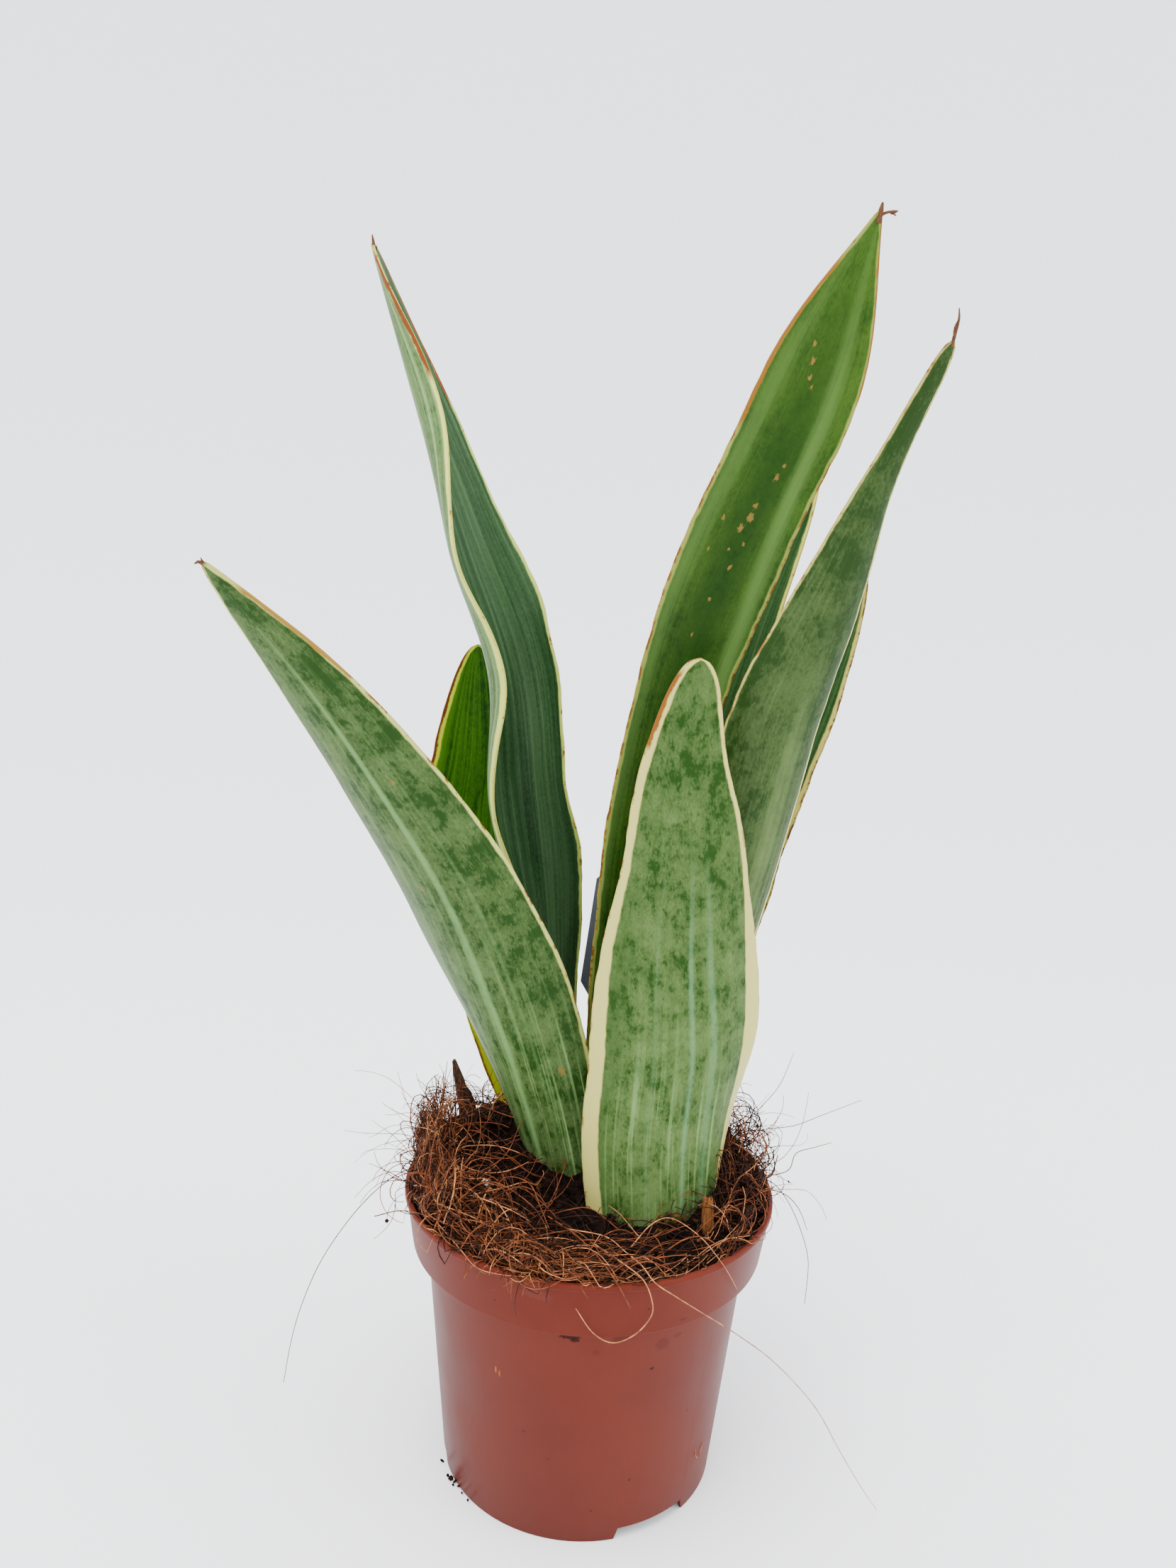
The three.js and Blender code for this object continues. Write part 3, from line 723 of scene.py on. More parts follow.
# %% Skin recipe
# All layers go on in turn, each covering the last. The wax makes a satin surface, and
# the fibres and the cells make a relief of some hundredths of a millimetre.
def leaf_skin(name, seed, look):
    look = {**PLAIN_SKIN, **look}
    material, tree, shader = new_material(name, 0.42, 1.3)
    shader.inputs["Specular IOR Level"].default_value = 0.15
    blade = add_node(tree, "ShaderNodeAttribute", attribute_name="blade_mm").outputs["Vector"]
    share = add_node(tree, "ShaderNodeAttribute", attribute_name="blade_share").outputs["Vector"]
    margin = add_node(tree, "ShaderNodeSeparateXYZ", {0: blade}).outputs[2]
    side, height, cream = add_node(tree, "ShaderNodeSeparateXYZ", {0: share}).outputs
    grain = skin_grain(tree, blade, share, look, seed)

    tone = tissue_tone(tree, grain, side, height, look)
    lightness = add_node(tree, "ShaderNodeMapRange", {0: tone, 1: -0.15, 2: 1.15})
    frayed = add_node(tree, "ShaderNodeMath", {
        0: grain["cork"], 1: 0.02, 2: height,
    }, operation="MULTIPLY_ADD")
    dry = add_node(tree, "ShaderNodeMapRange", {
        0: frayed.outputs[0], 1: look["dry_from"] + 0.01, 2: look["dry_from"] + 0.02,
    }, **SMOOTH)
    layers = [
        (lightness.outputs[0], look["light"]),
        *pale_layers(tree, grain, side, height, look),
        *margin_layers(tree, grain, margin, side, height, cream, look),
        *scab_layers(tree, grain, blade, look),
        (dry.outputs[0], look["dry"]),
    ]
    shade = linear(look["dark"])
    for cover, colour in layers:
        shade = add_node(tree, "ShaderNodeMix", {
            0: cover, MIX_A: shade, MIX_B: linear(colour),
        }, data_type="RGBA").outputs[MIX_RESULT]
    tree.links.new(shade, shader.inputs["Base Color"])

    waxy = add_node(tree, "ShaderNodeMapRange", {
        0: grain["cloud"], 1: 0.3, 2: 0.7, 3: 0.34, 4: 0.48,
    })
    tree.links.new(waxy.outputs[0], shader.inputs["Roughness"])
    relief = grain["fibre"]
    for pattern, amount in ((grain["cells"], 0.6), (grain["cloud"], 0.8)):
        relief = add_node(tree, "ShaderNodeMath", {
            0: pattern, 1: amount, 2: relief,
        }, operation="MULTIPLY_ADD").outputs[0]
    bump = add_node(tree, "ShaderNodeBump", {
        "Height": relief, "Strength": 0.22, "Distance": 0.0004,
    })
    tree.links.new(bump.outputs[0], shader.inputs["Normal"])
    return material


print("skin recipe ready")

# %% Three kinds of face
# A leaf's outer face is silvery, and its inner face is dark and striped. The four leaves
# that show their inner face to the front have a plainer outer face behind, made paler
# partly as its own colour and partly as a painted sheen, the light such a face gives back
# where it turns edge-on.
SILVER_OUTER = {
    "dark": "#1B360C", "light": "#637846", "silver": "#7EA262", "level": 0.58,
    "mottle": 1.5, "flecks": 0.45, "stripes": 0.35, "streaks": 0.06,
    "streaks_at_foot": 0.8, "mottle_mm": (8, 12),
}
DARK_INNER = {
    "dark": "#072907", "light": "#38532C", "silver": "#51704A", "level": 0.47,
    "mottle": 0.7, "stripes": 1.8, "streaks": 0.15, "mottle_mm": (10, 60),
    "streaks_at_foot": 0.1, "flecks": 0.1,
}
# Paler partly as its own colour and partly as a painted sheen.
PALE_OUTER_WITH_SHEEN = {
    "dark": "#445B36", "light": "#83A062", "silver": "#A5C484", "level": 0.5,
    "mottle": 1.1, "stripes": 0.6, "flecks": 0.3,
}
print("silver, dark and pale faces")

# %% Looks of the three outer leaves
# The front face of a leaf is the one towards the front of the plant where the leaf
# isn't turned. On these three that is the outer face.
LOOKS = {
    "leaf_front_left": (
        {**SILVER_OUTER, "level": 0.38, "to_right": -0.22, "to_tip": -0.20,
         "band": "#688B51", "bands_to": 0.85,
         "bands": [(-0.02, -0.06, 0.09, 0.7), (0.34, 0.34, 0.04, 0.2),
                   (-0.42, -0.42, 0.05, 0.2), (-0.62, -0.62, 0.06, 0.25),
                   (-0.24, -0.24, 0.04, 0.2)],
         "cream": "#ACAF5D", "edge": "#928C4C", "corked": 0.4, "edge_mm": 0.3,
         "stains": [(1, 0.8, 0.97, 0.9, "#856423")],
         "spots": [(15.0, 50, 0.9), (-8, 121, 0.6), (-9.5, 204, 0.8), (5, 160, 0.5)]},
        DARK_INNER,
    ),
    "leaf_front_right": (
        {**SILVER_OUTER, "dark": "#193607", "light": "#607642", "level": 0.60,
         "to_tip": -0.42, "streaks": 0.0, "streaks_at_foot": 0.75, "bands_to": 0.6,
         "bands": [(0.1, 0.1, 0.05, 0.4), (0.38, 0.3, 0.07, 0.3), (-0.3, -0.3, 0.03, 0.15),
                   (-0.78, -0.7, 0.22, 0.4, "#1F3D0D")],
         "cream": "#B3AD60", "edge": "#958342", "corked": 0.36, "dry_from": 0.999,
         "dry": "#684222", "stains": [(-1, 0.84, 0.985, 1.3, "#754616")]},
        DARK_INNER,
    ),
    "leaf_outer_right": (
        {**SILVER_OUTER, "dark": "#1C320E", "light": "#54663A", "level": 0.60,
         "mottle": 1.3, "flecks": 0.35, "streaks_at_foot": 0.3, "mottle_mm": (12, 20),
         # The pale band right of the midrib is partly its own mottling and partly painted light
         # on the half that faces the light, and the darkening towards the tip is partly its
         # pattern and partly painted shade.
         "to_tip": -0.72, "bands": [(0.45, 0.2, 0.3, 0.4)], "band": "#667A48",
         "bands_to": 0.6, "cream": "#B0AB5D", "edge": "#7A632E", "corked": 0.4},
        DARK_INNER,
    ),
}
print("outer leaves:", list(LOOKS))

# %% Looks of the five inner leaves
LOOKS.update({
    "leaf_tall_right": (
        {"dark": "#062602", "light": "#3E5A1A", "silver": "#5F803D", "level": 0.16,
         "mottle": 1.1, "stripes": 1.1, "streaks": 0.0, "streaks_at_foot": 0.05,
         "to_tip": 0.50, "band": "#4B682F", "mottle_mm": (9, 20), "flecks": 0.25,
         # The last band, pale and drawn in from the right margin towards the tip, is a painted
         # highlight: the sheen along the ridge where the blade folds.
         "bands": [(-0.15, 0.1, 0.75, 0.7, "#0C2B02"), (-1.25, -0.6, 0.3, 0.5),
                   (1.4, 0.35, 0.24, 0.8)], "bands_to": 0.92,
         "cream": "#75843B", "edge": "#946D26", "corked": 0.5, "edge_mm": 0.28,
         "stains": [(-1, 0.80, 0.97, 0.9, "#7B4F16"), (1, 0.86, 0.99, 0.4, "#7B4F16")],
         "spots": [(0.7, 235, 1.0), (-0.6, 231, 0.8), (0.5, 239, 0.7), (2.0, 227, 0.5),
                   (-1.5, 224, 0.4), (1, 219, 0.5), (2.5, 249, 0.8), (3, 253, 0.4),
                   (-7, 232, 0.5), (-7.5, 222, 0.4), (-1, 208, 0.5), (-2, 196, 0.4),
                   (-2, 281, 0.7), (-3.5, 285, 0.5), (-1, 277, 0.5), (0.4, 275, 0.4),
                   (0.5, 318, 0.5), (1, 322, 0.3)]},
        PALE_OUTER_WITH_SHEEN,
    ),
    "leaf_tall_left": (
        {**DARK_INNER, "dark": "#09270B", "light": "#3F5938", "to_right": 0.04,
         "stripes": 1.8, "stains": [(1, 0.84, 1.0, 1.0, "#6F3917")],
         "bands": [(0.0, 0.0, 0.08, 0.6, "#07240B"), (0.42, 0.42, 0.12, 0.25, "#45613B")],
         "cream": "#A3B256", "edge": "#9E983D"},
        {**PALE_OUTER_WITH_SHEEN, "cream": "#C0C662", "edge": "#9E983D", "dark": "#2B441D",
         "light": "#6E8953", "stripes": 1.9, "mottle": 0.5, "level": 0.5,
         "stains": [(-1, 0.86, 1.0, 1.2, "#6F3917")]},
    ),
    "leaf_back_left": (
        # Its very dark middle is partly painted shade, and the bright green bands along both
        # margins are partly painted light, where the margins stand clear of that shade.
        {"dark": "#052802", "light": "#356006", "silver": "#527911", "level": 0.40,
         "mottle": 0.5, "stripes": 2.0, "streaks": 0.1, "mottle_mm": (10, 60),
         "bands": [(-0.85, -0.85, 0.3, 0.6, "#3F6A07"), (0.85, 0.85, 0.3, 0.6, "#3F6A07")],
         "cream": "#A2AE21", "edge": "#512508", "edge_mm": 0.4, "corked": 0.5,
         "stains": [(-1, 0.72, 1.0, 0.8, "#512508")]},
        PALE_OUTER_WITH_SHEEN,
    ),
    "leaf_back_middle": (DARK_INNER, PALE_OUTER_WITH_SHEEN),
    "leaf_back_right": (
        {**DARK_INNER, "corked": 0.6, "cork": "#45260B", "cream": "#AAA051"},
        {**SILVER_OUTER, "dark": "#16310E", "level": 0.45},
    ),
})
print(len(LOOKS), "leaves have their looks")


for seed, (leaf_name, leaf) in enumerate(LEAVES.items(), start=1):
    blade = leaf_blank(f"{leaf_name}_blade")
    on_back = back_skin_faces(blade)
    bend_blank(blade, leaf, HABITS[leaf_name], seed)
    front_look, back_look = LOOKS[leaf_name]
    title = leaf_name.replace("_", " ")
    blade.data.materials.append(leaf_skin(f"waxed skin, {title}, front", seed, front_look))
    blade.data.materials.append(leaf_skin(f"waxed skin, {title}, back", seed + 20, back_look))
    blade.data.polygons.foreach_set("material_index", on_back)
    finish_piece(blade, (leaf_name,), smooth_below=60)

# %% [markdown]
# ## Dry tips
# A snake plant's leaf ends in a hard awn, which dries into a curled brown thread or
# breaks off. It is far too thin for the blank's grid, so each one is a short curve
# with a taper, drawn on from the leaf's last point and then turned into a mesh.

# %% Threads from curves
# Every hair in this model is made here too: one spline per hair, four-sided, with its
# radius falling away to the end. `strands` is a list of (points in mm, radius in mm).
def strands_piece(name, strands, taper, material):
    curve = bpy.data.curves.new(name, "CURVE")
    curve.dimensions = "3D"
    curve.bevel_depth = 1.0
    curve.bevel_resolution = 0
    curve.use_fill_caps = True
    for points, radius in strands:
        spline = curve.splines.new("POLY")
        spline.points.add(len(points) - 1)
        places = np.ones((len(points), 4))
        places[:, :3] = np.asarray(points) * MM
        spline.points.foreach_set("co", places.ravel())
        thinning = 1 - (1 - taper) * np.linspace(0, 1, len(points)) ** 2
        spline.points.foreach_set("radius", radius * MM * thinning)
    piece = bpy.data.objects.new(name, curve)
    bpy.context.scene.collection.objects.link(piece)
    only(piece)
    bpy.ops.object.convert(target="MESH")
    piece = bpy.context.object
    piece.data.materials.append(material)
    return piece


def smooth_path(corners, step=1.5):
    corners = np.asarray(corners, dtype=float)
    length = np.linalg.norm(np.diff(corners, axis=0), axis=1).sum()
    return along(corners, np.linspace(0, 1, max(4, int(length / step))))


print("thread maker ready")

# %% Dry tip material and threads
# Dead leaf tissue: papery, matt, red-brown, darker where it is thickest.
dry_tip, dry_tree, dry_shader = new_material("dried leaf tip", 0.7)
dry_shader.inputs["Specular IOR Level"].default_value = 0.2
dry_place = add_node(dry_tree, "ShaderNodeTexCoord")
dry_noise = add_node(dry_tree, "ShaderNodeTexNoise", {
    "Vector": dry_place.outputs["Object"], "Scale": 900.0, "Detail": 3.0,
})
dry_colour = add_node(dry_tree, "ShaderNodeMix", {
    0: dry_noise.outputs[0], MIX_A: linear("#230A03"), MIX_B: linear("#6A4226"),
}, data_type="RGBA")
dry_tree.links.new(dry_colour.outputs[MIX_RESULT], dry_shader.inputs["Base Color"])

# Each thread is a few points in millimetres and its radius at the leaf.
DRY_TIPS = {
    "leaf_tall_right": [
        ([(65.4, -14.8, 390.6), (65.9, -15.1, 393.4), (66.2, -15.5, 395.8)], 1.0),
        ([(66.0, -15.1, 392.6), (68.2, -15.5, 393.4), (70.2, -15.6, 392.4)], 0.45),
        ([(68.6, -15.5, 393.2), (70.6, -15.2, 393.8)], 0.6),
    ],
    "leaf_outer_right": [
        ([(84.7, -29.9, 356.5), (85.3, -30.1, 360), (85.9, -30.2, 363.6),
          (85.7, -30.1, 366.4)], 0.5),
        ([(85.1, -30.1, 358), (84.8, -30.4, 361), (85.4, -30.6, 363)], 0.3),
    ],
    "leaf_front_left": [
        ([(-105.2, -59.4, 290), (-106.6, -60.4, 291.2), (-107.7, -61.2, 290.6)], 0.6),
        ([(-105.6, -59.7, 290.4), (-106.3, -60.7, 292.2)], 0.4),
    ],
    "leaf_tall_left": [
        ([(-77.9, 17.6, 384), (-78.6, 17.4, 387), (-79.0, 17.2, 389.4)], 0.6),
        ([(-77.9, 17.3, 384), (-77.4, 17.0, 386.6)], 0.35),
    ],
}
for leaf_name, tips in DRY_TIPS.items():
    tip = strands_piece(
        f"{leaf_name}_dry_tip", [(smooth_path(tip, 0.8), size) for tip, size in tips], 0.3,
        dry_tip,
    )
    finish_piece(tip)

# %% [markdown]
# ## The pot
# A nursery pot is injection moulded in polypropylene: one thin wall all round, a deep
# collar so that pots can be stacked and lifted, a small lip on top, and a raised floor
# on a ring that has gaps cut in it for water to run out. All of that is one outline
# about the pot's axis, so it is turned in one go.

# %% Pot outline
RIM_RADIUS = 60.0
RIM_HEIGHT = 96.0
LIP = 1.8
COLLAR_FOOT = 78.0
COLLAR_RADIUS = 57.1
BODY_RADIUS = 52.3
BASE_RADIUS = 44.9
WALL = 1.2
SKIRT = 1.4
UNDERSIDE = 4.2
FLOOR_TOP = 5.6
BOSS_RADIUS = 22.0
POT_STEPS = 144
POT_OUTLINE = [
    (0, 0), (BOSS_RADIUS, 0), (BOSS_RADIUS + 4.5, UNDERSIDE), (BASE_RADIUS - SKIRT, UNDERSIDE),
    (BASE_RADIUS - SKIRT, 0), (BASE_RADIUS - 0.3, 0), (BASE_RADIUS, 0.4),
    (BODY_RADIUS - 0.12, COLLAR_FOOT - 1.4), (BODY_RADIUS + 0.5, COLLAR_FOOT - 0.5),
    (BODY_RADIUS + 1.6, COLLAR_FOOT), (COLLAR_RADIUS - 0.7, COLLAR_FOOT),
    (COLLAR_RADIUS - 0.2, COLLAR_FOOT + 0.2), (COLLAR_RADIUS, COLLAR_FOOT + 0.8),
    (RIM_RADIUS - 0.75, RIM_HEIGHT - LIP - 0.55), (RIM_RADIUS - 0.2, RIM_HEIGHT - LIP - 0.2),
    (RIM_RADIUS, RIM_HEIGHT - LIP + 0.2), (RIM_RADIUS, RIM_HEIGHT - 0.5),
    (RIM_RADIUS - 0.25, RIM_HEIGHT - 0.08), (RIM_RADIUS - 0.6, RIM_HEIGHT),
    (RIM_RADIUS - 1.3, RIM_HEIGHT), (RIM_RADIUS - 1.6, RIM_HEIGHT - 0.3),
    (COLLAR_RADIUS - WALL, COLLAR_FOOT + WALL), (BODY_RADIUS - WALL, COLLAR_FOOT + WALL),
    (BASE_RADIUS - WALL - 0.2, FLOOR_TOP), (BOSS_RADIUS + 3.5, FLOOR_TOP),
    (BOSS_RADIUS - 1, 1.4), (0, 1.4),
]

pot = turned("nursery_pot", POT_OUTLINE, POT_STEPS)
print("pot turned:", len(pot.data.polygons), "faces")

# %% Drain gaps and holes
# Three gaps in the foot ring and six holes in the floor are cut in one go: their
# blocks and rods are joined into one cutter, and a Boolean takes it away.
GAP_ANGLE = 35
FIRST_GAP = -57.5
GAP_TOP = 4.1
GAP_SLOPE = 1.6
GAP_INNER, GAP_OUTER = 40.6, 47
GAP_COUNT, HOLE_COUNT = 3, 6
HOLE_RADIUS = 3.6
HOLE_CIRCLE = 34.0
cutters = []
gap_width = 2 * BASE_RADIUS * math.sin(math.radians(GAP_ANGLE / 2))
for index in range(GAP_COUNT):
    heading = math.radians(FIRST_GAP + 360 / GAP_COUNT * index)
    bpy.ops.object.select_all(action="DESELECT")
    bpy.ops.mesh.primitive_cube_add(size=1)
    block = added("gap cutter")
    for vertex in block.data.vertices:
        narrower = GAP_SLOPE if vertex.co.z > 0 else 0
        radial = GAP_OUTER if vertex.co.x > 0 else GAP_INNER
        sideways = math.copysign(gap_width / 2 - narrower, vertex.co.y)
        lifted = GAP_TOP if vertex.co.z > 0 else -2
        vertex.co = Vector((radial, sideways, lifted)) * MM
        vertex.co.rotate(Matrix.Rotation(heading, 3, "Z"))
    cutters.append(block)
for index in range(HOLE_COUNT):
    heading = math.tau * (index + 0.5) / HOLE_COUNT
    bpy.ops.object.select_all(action="DESELECT")
    bpy.ops.mesh.primitive_cylinder_add(
        vertices=24, radius=HOLE_RADIUS * MM, depth=10 * MM,
        location=Vector((math.cos(heading), math.sin(heading), 0.13)) * HOLE_CIRCLE * MM,
    )
    cutters.append(added("hole cutter"))
only(cutters[0])
for cutter in cutters:
    cutter.select_set(True)
bpy.ops.object.join()
cutter = bpy.context.object
modify(pot, "BOOLEAN", object=cutter, operation="DIFFERENCE", solver="EXACT")
bpy.data.objects.remove(cutter)
modify(pot, "BEVEL", width=0.18 * MM, segments=2, limit_method="ANGLE", angle_limit=0.7)
print("pot cut:", len(pot.data.polygons), "faces")

# %% [markdown]
# ### Pot plastic
# Moulded polypropylene coloured right through, a terracotta brown. The mould was
# blasted to a fine satin, so highlights are broad: roughness 0.34 to 0.44, with a weak
# reflection. A used pot has faint clouding where water dried, a smear of soil under the
# collar and a few specks. Each mark is placed by its heading round the pot and its height.

# %% Clouding of the plastic
SATIN_LOW, SATIN_HIGH = 0.34, 0.44
plastic, plastic_tree, plastic_shader = new_material("moulded polypropylene", 0.4, 1.3)
plastic_shader.inputs["Specular IOR Level"].default_value = 0.08
plastic_place = add_node(plastic_tree, "ShaderNodeTexCoord").outputs["Object"]
PLASTIC_GRAIN = {"cloudy": (28.0, 5.0), "blotchy": (1400.0, 4.0), "specks": (1500.0, 1.0),
                 "pebbled": (2600.0, 2.0)}
plastic_grain = {
    label: add_node(plastic_tree, "ShaderNodeTexNoise", {
        "Vector": plastic_place, "Scale": scale, "Detail": detail,
    }).outputs[0]
    for label, (scale, detail) in PLASTIC_GRAIN.items()
}
clouding = add_node(plastic_tree, "ShaderNodeMapRange", {
    0: plastic_grain["cloudy"], 1: 0.3, 2: 0.7,
}, **SMOOTH)
colour = add_node(plastic_tree, "ShaderNodeMix", {
    0: clouding.outputs[0], MIX_A: linear("#532017"), MIX_B: linear("#5A261C"),
}, data_type="RGBA").outputs[MIX_RESULT]
print("grain of the plastic:", list(plastic_grain))

# %% Marks on the pot
# Heading, height, half width, half height in mm, colour and strength of each mark.
POT_MARKS = [
    (-95, 74.6, 3.4, 1.1, "#200603", 0.85), (-93, 73.4, 1.6, 0.8, "#150302", 0.8),
    (-78, 74.0, 2.6, 1.6, "#411611", 0.55), (-63, 69.5, 2.4, 2.2, "#441612", 0.5),
    (-104, 91, 5.0, 2.2, "#613229", 0.35), (-66, 61.6, 0.7, 0.5, "#150303", 0.9),
    (-121, 56.4, 0.35, 1.3, "#9C5324", 0.8), (-119.5, 55.6, 0.3, 1.1, "#9C5324", 0.7),
    (-60, 80.5, 1.6, 0.5, "#2A0E07", 0.5), (-110, 38, 0.6, 0.4, "#2A0E07", 0.6),
    (-70, 22, 0.5, 0.5, "#200603", 0.7), (-84, 12, 0.5, 0.4, "#200603", 0.7),
    (-101, 30, 0.8, 0.5, "#3F130E", 0.6), (-47, 40, 0.5, 0.7, "#2A0E07", 0.6),
    (-57, 71, 1.6, 0.8, "#411611", 0.5), (-86, 69.5, 1.2, 1.0, "#481A15", 0.5),
    (-117, 85, 0.5, 0.4, "#2A0E07", 0.6), (-72, 87, 0.6, 0.4, "#2A0E07", 0.6),
    (60, 66, 4.0, 1.6, "#35130C", 0.5), (140, 50, 2.5, 3.5, "#63332A", 0.35),
    (100, 84, 5.0, 1.4, "#613229", 0.35), (20, 30, 1.0, 0.7, "#200603", 0.7),
]
TAPER = (BODY_RADIUS - BASE_RADIUS) / COLLAR_FOOT
MARK_DEPTH = 1.6
for heading, height, half_width, half_height, mark, strength in POT_MARKS:
    angle = math.radians(heading)
    wall_radius = BODY_RADIUS - (COLLAR_FOOT - height) * TAPER
    if height > COLLAR_FOOT:
        wall_radius = COLLAR_RADIUS + 1
    centre = Vector((wall_radius * math.cos(angle), wall_radius * math.sin(angle), height))
    placed = add_node(plastic_tree, "ShaderNodeMapping", {
        "Vector": plastic_place, "Location": centre * MM, "Rotation": (0, 0, angle),
        "Scale": (MARK_DEPTH * MM, half_width * MM, half_height * MM),
    }, vector_type="TEXTURE")
    reach = add_node(plastic_tree, "ShaderNodeVectorMath", {
        0: placed.outputs[0],
    }, operation="LENGTH").outputs["Value"]
    broken = add_node(plastic_tree, "ShaderNodeMath", {
        0: plastic_grain["blotchy"], 1: -1.6, 2: reach,
    }, operation="MULTIPLY_ADD").outputs[0]
    cover = add_node(plastic_tree, "ShaderNodeMapRange", {
        0: broken, 1: 0.25, 2: -0.1, 3: 0.0, 4: strength,
    }, **SMOOTH)
    colour = add_node(plastic_tree, "ShaderNodeMix", {
        0: cover.outputs[0], MIX_A: colour, MIX_B: linear(mark),
    }, data_type="RGBA").outputs[MIX_RESULT]
print(len(POT_MARKS), "marks on the pot")

# %% Specks, satin and grain
specks = add_node(plastic_tree, "ShaderNodeMapRange", {
    0: plastic_grain["specks"], 1: 0.80, 2: 0.84, 3: 0.0, 4: 0.6,
}, **SMOOTH)
colour = add_node(plastic_tree, "ShaderNodeMix", {
    0: specks.outputs[0], MIX_A: colour, MIX_B: linear("#2A0E07"),
}, data_type="RGBA").outputs[MIX_RESULT]
plastic_tree.links.new(colour, plastic_shader.inputs["Base Color"])
dulled = add_node(plastic_tree, "ShaderNodeMapRange", {
    0: plastic_grain["cloudy"], 1: 0.3, 2: 0.7, 3: SATIN_LOW, 4: SATIN_HIGH,
}, **SMOOTH)
plastic_tree.links.new(dulled.outputs[0], plastic_shader.inputs["Roughness"])
satin = add_node(plastic_tree, "ShaderNodeBump", {
    "Height": plastic_grain["pebbled"], "Strength": 0.05, "Distance": 0.0002,
})
plastic_tree.links.new(satin.outputs[0], plastic_shader.inputs["Normal"])
pot.data.materials.append(plastic)
finish_piece(pot, ("pot",), smooth_below=32)

# %% [markdown]
# ## Soil
# The pot is filled with peat and chopped coir: nearly black where it is damp, with
# crumbs of every size. The plug is one turned outline, like the pot. Its top is dense
# with points and is then pushed up and down by noise at three sizes, clods, crumbs and
# grit, on top of the slow mound that the root ball makes towards the back.

# %% Soil plug
SOIL_EDGE = 92.0
SOIL_MOUND = 15.0
SOIL_RADIUS = 57.6
SOIL_RINGS = 96
SOIL_STEPS = 220
SOIL_SINK = 0.4
CRUMB_LAYERS = ((9.0, 2.0), (3.6, 1.3), (1.6, 0.7))


def soil_height(x, y):
    rise = min(max((y + 30) / 60, 0), 1)
    rise = rise * rise * (3 - 2 * rise)
    inside = 1 - (math.hypot(x, y) / RIM_RADIUS) ** 4
    return SOIL_EDGE + SOIL_MOUND * rise * (0.45 + 0.55 * inside)


def soil_relief(x, y):
    return sum(
        size * noise.noise(Vector((x / width, y / width, 3.1 * size)))
        for width, size in CRUMB_LAYERS
    )


soil_outline = [
    (SOIL_RADIUS * ring / SOIL_RINGS, SOIL_EDGE) for ring in range(SOIL_RINGS + 1)
] + [
    (COLLAR_RADIUS - WALL - 0.3, COLLAR_FOOT + WALL + 0.3),
    (BODY_RADIUS - WALL - 0.3, COLLAR_FOOT + WALL + 0.3),
    (BASE_RADIUS - WALL - 0.7, FLOOR_TOP + 0.3),
    (0, FLOOR_TOP + 0.3),
]
soil = turned("soil_plug", soil_outline, SOIL_STEPS)
for vertex in soil.data.vertices:
    x, y, z = vertex.co / MM
    if z > SOIL_EDGE - 0.1:
        vertex.co.z = (soil_height(x, y) + soil_relief(x, y) - SOIL_SINK) * MM
soil.data.update()
print("soil plug:", len(soil.data.polygons), "faces")


# %% Soil colours
# Damp peat: almost no shine. Its colour follows the same fine noise as its bump, so it
# is darker in the hollows, which is painted shade, and lighter on the ridges, with rusty
# fibre dust there. The noise scales are the sizes of grit (1 mm) and of crumbs (4 mm).
def earthy(name, dark, light, scale=900.0):
    material, tree, shader = new_material(name, 0.85)
    shader.inputs["Specular IOR Level"].default_value = 0.08
    place = add_node(tree, "ShaderNodeTexCoord").outputs["Object"]
    fine = add_node(tree, "ShaderNodeTexNoise", {
        "Vector": place, "Scale": scale, "Detail": 4.0, "Roughness": 0.7,
    }).outputs[0]
    coarse = add_node(tree, "ShaderNodeTexNoise", {
        "Vector": place, "Scale": scale / 4, "Detail": 2.0,
    }).outputs[0]
    # Darker where the fine noise, which is also the bump, is low: painted shade in its hollows.
    blend = add_node(tree, "ShaderNodeMath", {0: fine, 1: coarse}, operation="MULTIPLY")
    share = add_node(tree, "ShaderNodeMapRange", {
        "Value": blend.outputs[0], "From Min": 0.14, "From Max": 0.42,
    })
    mixed = add_node(tree, "ShaderNodeMix", {
        0: share.outputs[0], MIX_A: linear(dark), MIX_B: linear(light),
    }, data_type="RGBA")
    tree.links.new(mixed.outputs[MIX_RESULT], shader.inputs["Base Color"])
    bump = add_node(tree, "ShaderNodeBump", {
        "Height": fine, "Strength": 0.6, "Distance": 0.0006,
    })
    tree.links.new(bump.outputs[0], shader.inputs["Normal"])
    return material


soil.data.materials.append(earthy("damp peat", "#040201", "#1A0D08"))
finish_piece(soil, ("soil",), smooth_below=70)

# %% [markdown]
# ### Crumbs
# A few crumbs are modelled once, each from a low ball that is knocked out of round.
# Copies of them, turned and sized by a seeded draw, are gathered into one mesh and
# strewn over the plug. Twenty faces are enough for a crumb of a millimetre or two.

# %% Crumb shapes
chance = random.Random(12)


def crumb_shape(seed, stretch):
    bpy.ops.object.select_all(action="DESELECT")
    bpy.ops.mesh.primitive_ico_sphere_add(subdivisions=1, radius=1)
    ball = added("crumb shape")
    for vertex in ball.data.vertices:
        dent = 1 + 0.55 * noise.noise(vertex.co * 1.3 + Vector((seed, 0, 0)))
        vertex.co = Vector(a * b for a, b in zip(vertex.co * dent, stretch))
    corners = np.array([vertex.co[:] for vertex in ball.data.vertices])
    faces = np.array([face.vertices[:] for face in ball.data.polygons])
    bpy.data.objects.remove(ball)
    return corners, faces


